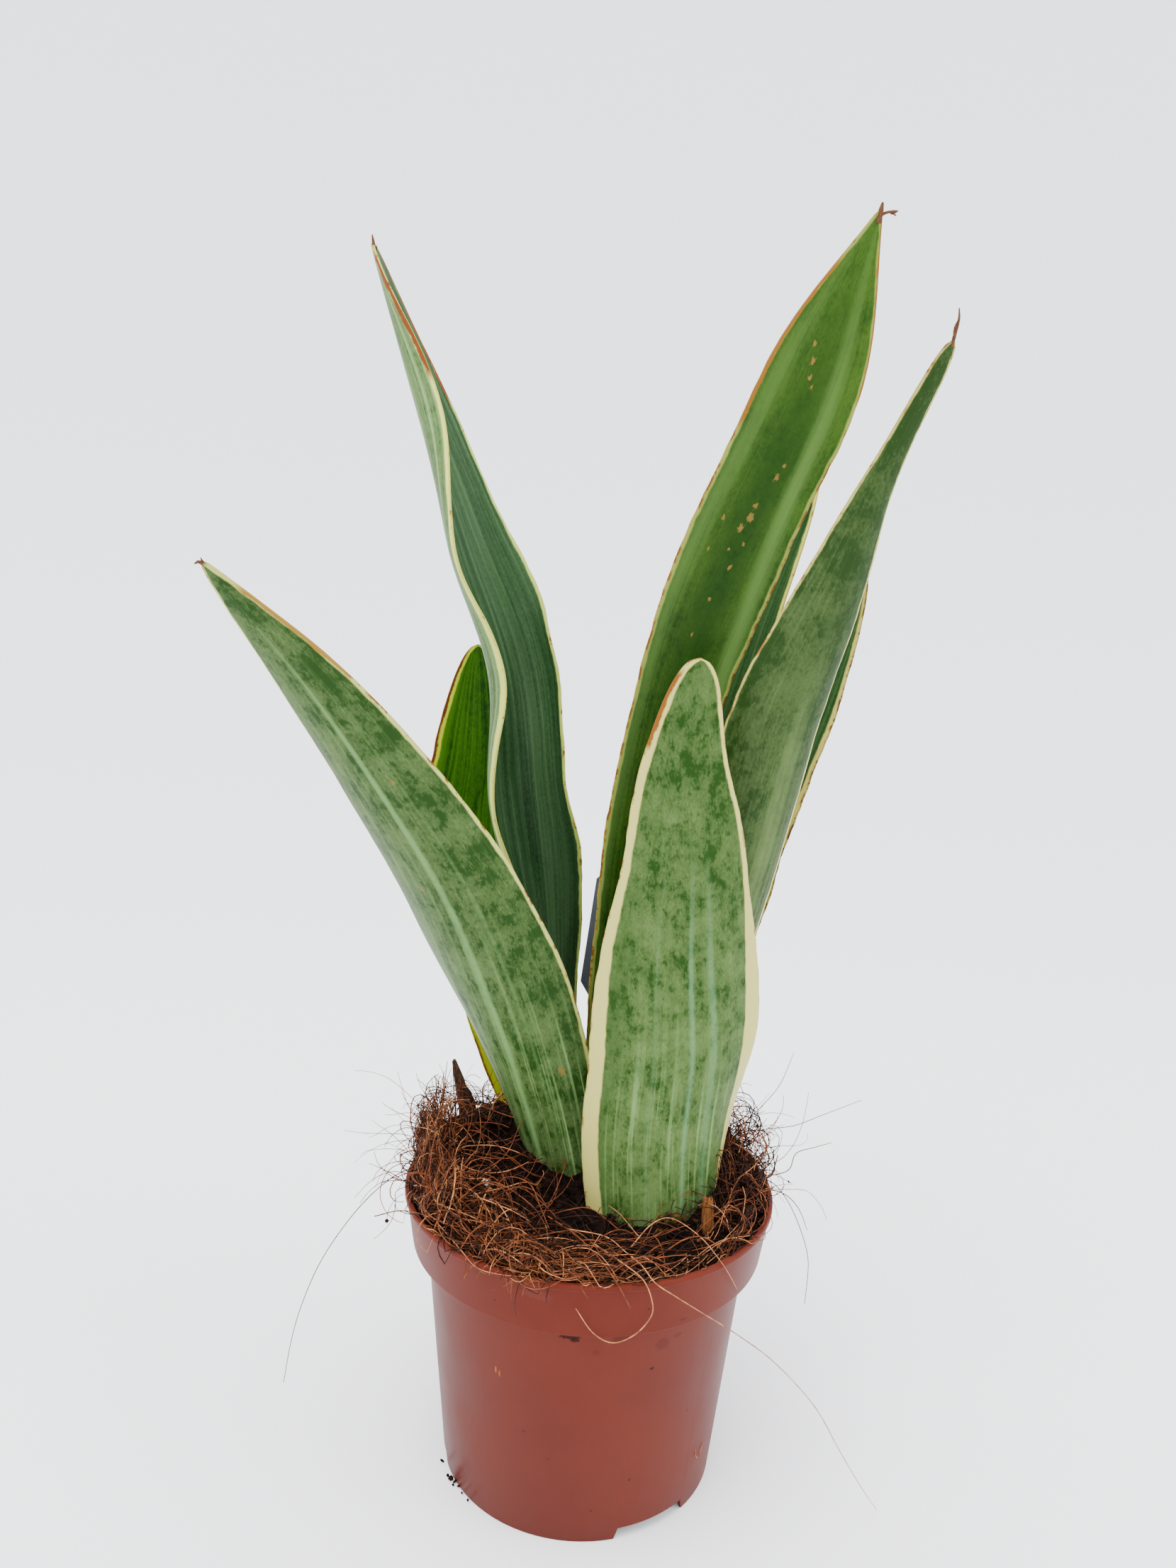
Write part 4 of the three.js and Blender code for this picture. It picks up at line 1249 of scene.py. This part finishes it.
CRUMB_SHAPES = [
    crumb_shape(1, (1, 0.8, 0.6)), crumb_shape(2, (1, 0.6, 0.5)),
    crumb_shape(3, (1.3, 0.5, 0.4)), crumb_shape(4, (0.9, 0.9, 0.7)),
]
CRUMB_MATERIALS = [
    earthy("dark peat crumb", "#030201", "#0F0704"),
    earthy("brown peat crumb", "#0E0503", "#22130B"),
    earthy("rusty coir crumb", "#1B0B05", "#351F11"),
    earthy("tan husk crumb", "#342011", "#61411D"),
]
CRUMB_SHARES = [0.5, 0.33, 0.14, 0.03]


def strewn(name, places):
    corners, faces, shades = [], [], []
    count = 0
    for centre, size in places:
        shape, shape_faces = chance.choice(CRUMB_SHAPES)
        spin = Matrix.Rotation(chance.uniform(0, math.tau), 3, (
            chance.uniform(-1, 1), chance.uniform(-1, 1), chance.uniform(-1, 1),
        ))
        corners.append((shape @ np.array(spin) * size + centre) * MM)
        faces.append(shape_faces + count)
        count += len(shape)
        shades += [chance.choices(range(4), CRUMB_SHARES)[0]] * len(shape_faces)
    mesh = bpy.data.meshes.new(name)
    mesh.from_pydata(np.concatenate(corners).tolist(), [], np.concatenate(faces).tolist())
    for material in CRUMB_MATERIALS:
        mesh.materials.append(material)
    mesh.polygons.foreach_set("material_index", shades)
    piece = bpy.data.objects.new(name, mesh)
    bpy.context.scene.collection.objects.link(piece)
    return piece


print(len(CRUMB_SHAPES), "crumb shapes")

# %% Strew the crumbs
CRUMB_COUNT = 3600
places = []
for _ in range(CRUMB_COUNT):
    heading = chance.uniform(0, math.tau)
    radius = 57.3 * math.sqrt(chance.random())
    x, y = radius * math.cos(heading), radius * math.sin(heading)
    size = 0.35 + 1.25 * chance.random() ** 3
    z = soil_height(x, y) + soil_relief(x, y) - SOIL_SINK + 0.3 * size
    places.append((np.array((x, y, z)), size))
finish_piece(strewn("soil_crumbs", places), smooth_below=0)

fallen = [
    ((-40.4, -22.0, 0.9), 1.1), ((-38.9, -23.2, 0.8), 0.9), ((-37.4, -25.1, 0.7), 0.8),
    ((-41.6, -20.6, 0.6), 0.6), ((-39.4, -24.4, 0.5), 0.5), ((-44.2, -14.4, 0.7), 0.8),
    ((-34.0, -30.6, 0.5), 0.5), ((-36.2, -27.6, 0.5), 0.5),
]
finish_piece(
    strewn("fallen_crumbs", [(np.array(spot), size) for spot, size in fallen]),
    smooth_below=0,
)

# %% [markdown]
# ## Coir
# Coir is coconut husk fibre: springy strands a few tenths of a millimetre thick, fox
# red when new and dark brown when wet. In this pot it stands up in a brush along the
# left of the rim, lies in a loose tangle across the front, and sits in a dark nest at
# the right. Every strand is grown by small steps that keep bending slowly about an axis
# of its own, which is what a springy fibre does. Here strands are 0.24 to 0.48 mm thick
# at the root, and free hairs 0.2 to 0.32 mm, so that they still show at this distance.

# %% Fibre colours
# The colour changes along a fibre, where it is wetter or dustier. The noise is 2.4 mm wide.
def fibrous(name, dark, light):
    material, tree, shader = new_material(name, 0.55, 1.3)
    shader.inputs["Specular IOR Level"].default_value = 0.2
    place = add_node(tree, "ShaderNodeTexCoord").outputs["Object"]
    patch = add_node(tree, "ShaderNodeTexNoise", {
        "Vector": place, "Scale": 420.0, "Detail": 2.0,
    }).outputs[0]
    share = add_node(tree, "ShaderNodeMapRange", {
        "Value": patch, "From Min": 0.3, "From Max": 0.7,
    })
    mixed = add_node(tree, "ShaderNodeMix", {
        0: share.outputs[0], MIX_A: linear(dark), MIX_B: linear(light),
    }, data_type="RGBA")
    tree.links.new(mixed.outputs[MIX_RESULT], shader.inputs["Base Color"])
    return material


FIBRES = {
    "dark": fibrous("wet coir fibre", "#140805", "#331B11"),
    "red": fibrous("fox red coir fibre", "#482417", "#7B4427"),
    "pale": fibrous("dry coir fibre", "#67422E", "#CB8753"),
}
print("fibre colours:", list(FIBRES))


# %% Growing a strand
def gauss_vector(spread=1.0):
    return spread * Vector((chance.gauss(0, 1), chance.gauss(0, 1), chance.gauss(0, 1)))


def wander(start, heading, length, step, bend, hold):
    point, heading = Vector(start), Vector(heading).normalized()
    axis = gauss_vector().normalized()
    path = [point.copy()]
    for _ in range(max(3, int(length / step))):
        axis = (axis + gauss_vector(0.3)).normalized()
        heading.rotate(Matrix.Rotation(chance.uniform(0.3, 1) * bend * step, 3, axis))
        point = point + heading * step
        point, heading = hold(point, heading)
        path.append(point.copy())
    return path


# Strands stay on top of the soil, and over the rim until they are well past it.
def above_soil(point):
    radius = math.hypot(point.x, point.y)
    if radius <= 58.3:
        point.z = max(point.z, soil_height(point.x, point.y) + 0.2)
    elif radius < 61.2:
        point.z = max(point.z, RIM_HEIGHT + 0.5)
    return point


# A tangle lies no deeper than `lift` on the soil, and turns back near the rim.
def tangle_hold(lift, edge=56.5):
    def hold(point, heading):
        ceiling = soil_height(point.x, point.y) + lift
        if point.z > ceiling:
            heading.z -= 0.12 + 0.05 * (point.z - ceiling)
        if math.hypot(point.x, point.y) > edge:
            heading = heading - 0.45 * Vector((point.x, point.y, 0)).normalized()
        heading.normalize()
        return above_soil(point), heading

    return hold


# A free hair only feels its weight, and keeps clear of the model's own limits.
def free_hold(point, heading):
    heading.z -= 0.02
    heading.normalize()
    point.x = min(max(point.x, -108), 92)
    point.y = min(max(point.y, -66), 66)
    return above_soil(point), heading


print("strand growing ready")

# %% Where the coir lies
# Each bed of fibres fills a sector of the pot's top. Headings are degrees round the pot
# from its right-hand side, 270 being the front. `way` is the main direction, as shares
# outwards, round the pot and upwards, and `stray` is how far strands depart from it.
BEDS = {
    "coir_tuft_left": [
        {"sector": (161, 216), "radii": (46, 58), "depth": 5, "count": 270, "lift": 20,
         "way": (0.14, 0.05, 1.0), "stray": 0.26, "lengths": (12, 28), "bend": 0.045,
         "shares": (0.25, 0.6, 0.15)},
        {"sector": (158, 222), "radii": (42, 58), "depth": 13, "count": 210, "lift": 14,
         "way": (0.0, 0.3, 0.3), "stray": 0.8, "lengths": (18, 46), "bend": 0.1,
         "shares": (0.35, 0.5, 0.15)},
        {"sector": (110, 165), "radii": (34, 57), "depth": 2, "count": 80, "lift": 4,
         "way": (0.0, 0.3, 0.4), "stray": 0.9, "lengths": (12, 30), "bend": 0.11,
         "shares": (0.7, 0.27, 0.03)},
    ],
    "coir_tuft_front": [
        {"sector": (205, 275), "radii": (38, 58), "depth": 4, "count": 210, "lift": 4.5,
         "way": (0.1, 1.0, 0.1), "stray": 0.5, "lengths": (16, 48), "bend": 0.07,
         "shares": (0.32, 0.53, 0.15)},
        {"sector": (190, 250), "radii": (30, 58), "depth": 6, "count": 150, "lift": 7,
         "way": (0.3, 0.8, 0.3), "stray": 0.7, "lengths": (18, 50), "bend": 0.085,
         "shares": (0.38, 0.5, 0.12)},
        {"sector": (240, 256), "radii": (34, 52), "depth": 5, "count": 90, "lift": 6,
         "way": (1.0, 0.15, 0.1), "stray": 0.35, "lengths": (10, 28), "bend": 0.06,
         "shares": (0.2, 0.7, 0.1)},
        {"sector": (262, 318), "radii": (44, 58), "depth": 2, "count": 40, "lift": 3,
         "way": (0.1, 1.0, 0.1), "stray": 0.7, "lengths": (12, 34), "bend": 0.09,
         "shares": (0.45, 0.4, 0.15)},
    ],
    "coir_tuft_right": [
        {"sector": (-12, 62), "radii": (43, 58), "depth": 8, "count": 240, "lift": 13,
         "way": (0.1, 0.1, 0.6), "stray": 0.9, "lengths": (12, 34), "bend": 0.13,
         "shares": (0.74, 0.23, 0.03)},
        {"sector": (-45, 10), "radii": (42, 58), "depth": 4, "count": 110, "lift": 5,
         "way": (0.1, 0.5, 0.5), "stray": 0.9, "lengths": (12, 30), "bend": 0.12,
         "shares": (0.68, 0.28, 0.04)},
    ],
}


def bed_strands(bed):
    strands = {shade: [] for shade in FIBRES}
    hold = tangle_hold(bed["lift"])
    for _ in range(bed["count"]):
        heading = math.radians(chance.uniform(*bed["sector"]))
        radius = chance.uniform(*bed["radii"])
        outwards = Vector((math.cos(heading), math.sin(heading), 0))
        sideways = Vector((-outwards.y, outwards.x, 0))
        start = outwards * radius
        start.z = soil_height(start.x, start.y) + bed["depth"] * chance.random()
        out_share, round_share, up_share = bed["way"]
        way = outwards * out_share + sideways * round_share + Vector((0, 0, up_share))
        path = wander(start, way + gauss_vector(bed["stray"] * 0.6),
                      chance.uniform(*bed["lengths"]), 2.6, bed["bend"], hold)
        shade = chance.choices(list(FIBRES), bed["shares"])[0]
        strands[shade].append((path, chance.uniform(0.12, 0.24)))
    return strands


for node_name, beds in BEDS.items():
    gathered = {shade: [] for shade in FIBRES}
    for bed in beds:
        for shade, strands in bed_strands(bed).items():
            gathered[shade] += strands
    for shade, strands in gathered.items():
        piece = strands_piece(f"{node_name}_{shade}", strands, 0.5, FIBRES[shade])
        finish_piece(piece, (node_name,), smooth_below=0)

# %% Fibres felted over the soil
# The rest of the soil has a thinner felt of short fibres, mostly dark.
FELT = {"dark": 420, "red": 100, "pale": 12}
for shade, count in FELT.items():
    strands = []
    for _ in range(count):
        heading = chance.uniform(0, math.tau)
        radius = 56 * math.sqrt(chance.random())
        x, y = radius * math.cos(heading), radius * math.sin(heading)
        start = (x, y, soil_height(x, y) + chance.uniform(0, 1.6))
        way = (chance.gauss(0, 1), chance.gauss(0, 1), chance.uniform(-0.1, 0.5))
        path = wander(start, way, chance.uniform(8, 26), 2.4, 0.13, tangle_hold(2.5))
        strands.append((path, chance.uniform(0.12, 0.22)))
    piece = strands_piece(f"coir_felt_{shade}", strands, 0.5, FIBRES[shade])
    finish_piece(piece, smooth_below=0)

# %% Hairs that stand clear
# Fine hairs spring out of the coir, rise, arch over and end in the air. Crumbs of peat
# still hang on some of their ends.
HAIR_ROOTS = [
    ((-52, -2, 112), (5, 12, 5), 30, (-0.5, 0.0, 0.9), 30),
    ((-56, -8, 103), (3, 12, 6), 24, (-0.9, -0.1, 0.4), 28),
    ((-38, 24, 106), (12, 12, 3), 12, (-0.3, 0.2, 1.0), 24),
    ((53, 20, 106), (4, 14, 5), 18, (0.7, 0.0, 0.7), 34),
    ((56, -2, 100), (3, 12, 3), 12, (0.9, -0.2, 0.4), 32),
    ((0, 50, 104), (34, 6, 3), 24, (0.0, 0.6, 0.8), 24),
]
hairs = {shade: [] for shade in FIBRES}
hanging_crumbs = []
for centre, half, count, way, longest in HAIR_ROOTS:
    for _ in range(count):
        start = Vector(c + h * chance.uniform(-1, 1) for c, h in zip(centre, half))
        length = 6 + longest * chance.random() ** 1.6
        heading = Vector(way).normalized() + gauss_vector(0.4)
        path = wander(start, heading, length, 1.8, chance.uniform(0.05, 0.22), free_hold)
        shade = chance.choices(list(FIBRES), (0.4, 0.4, 0.2))[0]
        hairs[shade].append((path, chance.uniform(0.1, 0.16)))
        if chance.random() < 0.07:
            hanging_crumbs.append((np.array(path[-2]), chance.uniform(0.4, 0.9)))
for shade, strands in hairs.items():
    piece = strands_piece(f"coir_hairs_{shade}", strands, 0.6, FIBRES[shade])
    finish_piece(piece, smooth_below=0)
finish_piece(strewn("hanging_crumbs", hanging_crumbs), smooth_below=0)

# %% [markdown]
# ## Single strands
# A handful of long fibres can be told apart one by one: a loop that hangs over the
# front of the rim, a long pale one that leaves the pot at the right and reaches the
# floor, a dark one that falls away at the left, and several thick ones that lie across
# the front nest. Each goes through a few points. Some of these points were worked out by
# a separate program, and the others were set or moved by hand.

# %% Strands placed one by one
SINGLE_STRANDS = {
    "pale": [
        ([(2, -41.7, 98), (10.3, -52, 98.5), (15.6, -58.6, 98), (18.2, -60.2, 93),
          (18.4, -59.2, 87.4), (14.4, -57.6, 80.4), (8.2, -56.6, 76.6), (2.2, -58.2, 80.6),
          (-3.0, -59.8, 89.0)], 0.2),
        ([(-6, -34, 98), (5, -38, 98.5), (11, -45, 98), (15.5, -52, 98.2), (19, -58.4, 97.2),
          (25, -55.6, 91.6), (34, -50.6, 83.2), (46, -44, 72), (58, -41, 61.4),
          (71, -40, 47), (80, -37, 31), (86, -34, 20), (92.5, -30, 8.5), (97, -27.5, 1.2)],
         0.2),
        ([(12.7, -40.3, 97), (19, -34, 101), (25.2, -31.5, 101.6), (33.3, -37.4, 99.5),
          (38.6, -46.4, 97.4), (42.5, -42.5, 90), (45.4, -37.6, 83)], 0.18),
        ([(-52.4, -11.6, 100), (-42.6, -17.9, 99.6), (-33, -24.6, 98.4), (-23.8, -30.6, 97.6)],
         0.28),
        ([(-55, -19, 97.6), (-47, -31, 97.4), (-37.7, -45.6, 97.2), (-31.9, -51.6, 95.0),
          (-24.6, -55.2, 95.4), (-17.8, -57.9, 96.9)], 0.16),
        ([(37.6, -27.8, 20), (38.0, -27.1, 17), (38.9, -25.8, 15.6), (39.6, -24.6, 17),
          (40.2, -24.2, 20.2)], 0.12),
    ],
    "red": [
        ([(-12.5, -27.4, 98), (-3.6, -38.4, 98.6), (3.6, -50.7, 98.6), (8.4, -59.6, 97.0),
          (12.4, -59.4, 89.6)], 0.28),
        ([(-39.4, -43.9, 97.4), (-22.9, -42.9, 98.4), (-6.4, -36, 98.6), (0.1, -40.2, 98.4),
          (4.3, -47.3, 97.4)], 0.2),
        ([(-66, -26, 94.5), (-57, -27, 97.4), (-46, -33, 98.6), (-34.7, -41, 98.6),
          (-25.9, -38.7, 98.6), (-12.2, -33.6, 98)], 0.2),
        ([(56.6, 5, 96), (60.6, 5, 98.4), (62.3, 5, 105.4)], 0.28),
        ([(-30, -22, 99), (-27, -20, 106), (-19, -24, 107), (-15, -29, 102), (-12, -34, 98)],
         0.22),
        ([(-44, -10, 99), (-40, -14, 104), (-31, -14, 103), (-24, -19, 98.5)], 0.22),
    ],
    "dark": [
        ([(-48, 2, 99), (-56, -3, 99.6), (-63, -6, 97.4), (-70, -10, 92.5),
          (-77, -15, 85), (-84, -19, 74), (-89.5, -20, 60), (-93, -20, 46.6),
          (-95.5, -20, 31.2)], 0.18),
        ([(54, 2, 98), (59.6, 0, 98.4), (64, -4, 95.4), (68, -6, 88.7), (71.4, -8, 80.1),
          (72.7, -8, 72.5), (72.5, -8, 59.8)], 0.17),
        ([(56, 6, 97), (62, 5, 98.3), (66.3, 4, 101), (68, 4, 106.7), (73.5, 4, 109),
          (79.4, 4, 111.1)], 0.17),
        ([(47, 22, 104), (52.9, 20, 104.8), (59.8, 18, 108), (68.8, 15, 111.2),
          (77.4, 12, 116.9), (89.5, 10, 123.8)], 0.15),
        ([(50, 20, 104), (53.8, 20, 110.1), (58.3, 20, 115.5), (63.8, 20, 123.5),
          (67.7, 20, 135.3)], 0.15),
    ],
}
for shade, strands in SINGLE_STRANDS.items():
    paths = [(smooth_path(corners), radius) for corners, radius in strands]
    piece = strands_piece(f"single_strands_{shade}", paths, 0.6, FIBRES[shade])
    finish_piece(piece, smooth_below=0)

# %% [markdown]
# ## Odds and ends in the soil
# A few scraps stand out of the coir. The stub is the base of a leaf that was torn off:
# a dry scale, rolled and pointed. The bark chip is split softwood bark, with its grain
# upright. And one white grain is perlite, a puffed volcanic glass that growers mix in.


# %% Torn stub
# A cone, cut into rings, is flattened, bent and torn along its edge by noise.
def fibred_wood(name, dark, light, grain_mm, turn=0.0):
    material, tree, shader = new_material(name, 0.8)
    shader.inputs["Specular IOR Level"].default_value = 0.15
    place = add_node(tree, "ShaderNodeTexCoord").outputs["Object"]
    drawn_out = add_node(tree, "ShaderNodeMapping", {
        "Vector": place, "Rotation": (0, turn, 0),
        "Scale": (1 / (grain_mm * MM), 1 / (grain_mm * MM), 0.12 / (grain_mm * MM)),
    })
    grain = add_node(tree, "ShaderNodeTexNoise", {
        "Vector": drawn_out.outputs[0], "Scale": 1.0, "Detail": 4.0, "Roughness": 0.65,
    }).outputs[0]
    share = add_node(tree, "ShaderNodeMapRange", {
        "Value": grain, "From Min": 0.32, "From Max": 0.68,
    })
    mixed = add_node(tree, "ShaderNodeMix", {
        0: share.outputs[0], MIX_A: linear(dark), MIX_B: linear(light),
    }, data_type="RGBA")
    tree.links.new(mixed.outputs[MIX_RESULT], shader.inputs["Base Color"])
    bump = add_node(tree, "ShaderNodeBump", {
        "Height": grain, "Strength": 0.7, "Distance": 0.0005,
    })
    tree.links.new(bump.outputs[0], shader.inputs["Normal"])
    return material


STUB_FOOT = Vector((-39, 25, 94))
STUB_TOP = Vector((-48, 25, 124))
STUB_LENGTH = 32
bpy.ops.object.select_all(action="DESELECT")
bpy.ops.mesh.primitive_cone_add(vertices=20, radius1=6.2, radius2=0.3, depth=STUB_LENGTH)
stub = added("torn_leaf_stub")
only(stub)
bpy.ops.object.mode_set(mode="EDIT")
bpy.ops.mesh.select_all(action="SELECT")
bpy.ops.mesh.subdivide(number_cuts=9)
bpy.ops.object.mode_set(mode="OBJECT")
lean = (STUB_TOP - STUB_FOOT).to_track_quat("Z", "Y")
for vertex in stub.data.vertices:
    x, y, z = vertex.co
    up = z / STUB_LENGTH + 0.5
    stout = max(1 - up, 0.02) ** -0.35
    groove = 1 + 0.22 * math.sin(3 * math.atan2(y, x) + 4 * up)
    rough = 1 + 0.5 * noise.noise(Vector((x, y, z * 0.35)))
    bow = 2.2 * math.sin(math.pi * up)
    swell = groove * rough * stout
    vertex.co = Vector((x * swell * 0.9 + bow, y * swell * 0.6, z + STUB_LENGTH / 2))
    vertex.co.rotate(lean)
    vertex.co = (vertex.co + STUB_FOOT) * MM
stub.data.materials.append(fibred_wood("dry leaf scale", "#140906", "#4E3525", 1.1, -0.29))
finish_piece(stub, ("old_leaf_stub",), smooth_below=60)

# %% Bark chip
# A small block is subdivided, and its broken ends are pulled into splinters along the grain.
CHIP_PLACE = Vector((37.2, -21.5, 95.2))
CHIP_HEIGHT = 15
bpy.ops.object.select_all(action="DESELECT")
bpy.ops.mesh.primitive_cube_add(size=1)
chip = added("bark_chip_split")
only(chip)
bpy.ops.object.mode_set(mode="EDIT")
bpy.ops.mesh.select_all(action="SELECT")
bpy.ops.mesh.subdivide(number_cuts=7)
bpy.ops.object.mode_set(mode="OBJECT")
for vertex in chip.data.vertices:
    x, y, z = vertex.co
    splinter = 2.6 * noise.noise(Vector((x * 6, y * 3, 5))) if abs(z) > 0.4 else 0
    flake = 0.35 * noise.noise(Vector((x * 8, y * 8, z * 1.5)))
    vertex.co = Vector((
        x * (3.4 - 1.0 * z) + flake, y * 2.0 + flake,
        z * CHIP_HEIGHT + splinter * math.copysign(1, z),
    ))
    vertex.co.rotate(Matrix.Rotation(math.radians(14), 3, "Z"))
    vertex.co.rotate(Matrix.Rotation(math.radians(-3), 3, "Y"))
    vertex.co = (vertex.co + CHIP_PLACE) * MM
chip.data.materials.append(fibred_wood("split softwood bark", "#4E2D1B", "#905D2D", 0.7))
finish_piece(chip, ("bark_chip",), smooth_below=30)

# %% Husk flakes and perlite
# Small flakes of husk and dust have caught against the feet of the front leaves.
flakes = [
    ((25.1, -19.5, 95.9), 1.3), ((23.0, -20.4, 95.5), 1.1), ((27.6, -19.0, 95.7), 1.2),
    ((29.8, -20.0, 95.3), 1.0), ((21.0, -19.0, 95.7), 0.9), ((26.4, -21.6, 95.4), 0.9),
    ((24.2, -22.6, 95.2), 0.7), ((-8.6, -1.0, 97.4), 1.0), ((-6.8, -2.4, 97.0), 0.8),
    ((-10.6, -0.2, 97.4), 0.7), ((38.6, -14.0, 96.2), 1.0), ((33.4, -21.0, 95.4), 0.8),
]
husk = strewn("husk_flakes", [(np.array(spot), size) for spot, size in flakes])
husk.data.polygons.foreach_set("material_index", [3] * len(husk.data.polygons))
finish_piece(husk, smooth_below=0)

bpy.ops.object.select_all(action="DESELECT")
bpy.ops.mesh.primitive_ico_sphere_add(subdivisions=3, radius=1.1 * MM)
perlite = added("perlite_grain")
for vertex in perlite.data.vertices:
    vertex.co *= 1 + 0.5 * noise.noise(vertex.co / MM * 0.9)
    vertex.co += Vector((-33.4, -10.4, 99.0)) * MM
perlite.data.materials.append(earthy("puffed perlite", "#787A82", "#FFFFFF", 700.0))
finish_piece(perlite, smooth_below=50)

# %% [markdown]
# ## What stays as CAD made it
# The rhizome is buried, and the label is a flat blade of plastic, so their CAD shapes
# are right as they are. They only get a finish. It is set on the object, and the CAD
# mesh is left alone.

# %% Finishes for CAD nodes
def dress(node_name, material):
    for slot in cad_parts[node_name].material_slots:
        slot.link = "OBJECT"
        slot.material = material
    print(node_name, "keeps its CAD shape")


card, card_tree, card_shader = new_material("moulded polystyrene label", 0.45, 1.55)
card_place = add_node(card_tree, "ShaderNodeTexCoord").outputs["Object"]
card_scuffs = add_node(card_tree, "ShaderNodeTexNoise", {
    "Vector": card_place, "Scale": 240.0, "Detail": 4.0,
}).outputs[0]
card_colour = add_node(card_tree, "ShaderNodeMix", {
    0: card_scuffs, MIX_A: linear("#3B414A"), MIX_B: linear("#494F57"),
}, data_type="RGBA")
card_tree.links.new(card_colour.outputs[MIX_RESULT], card_shader.inputs["Base Color"])
dress("plant_label", card)
dress("rhizome", earthy("rhizome bark", "#553B19", "#A1722A", 400.0))
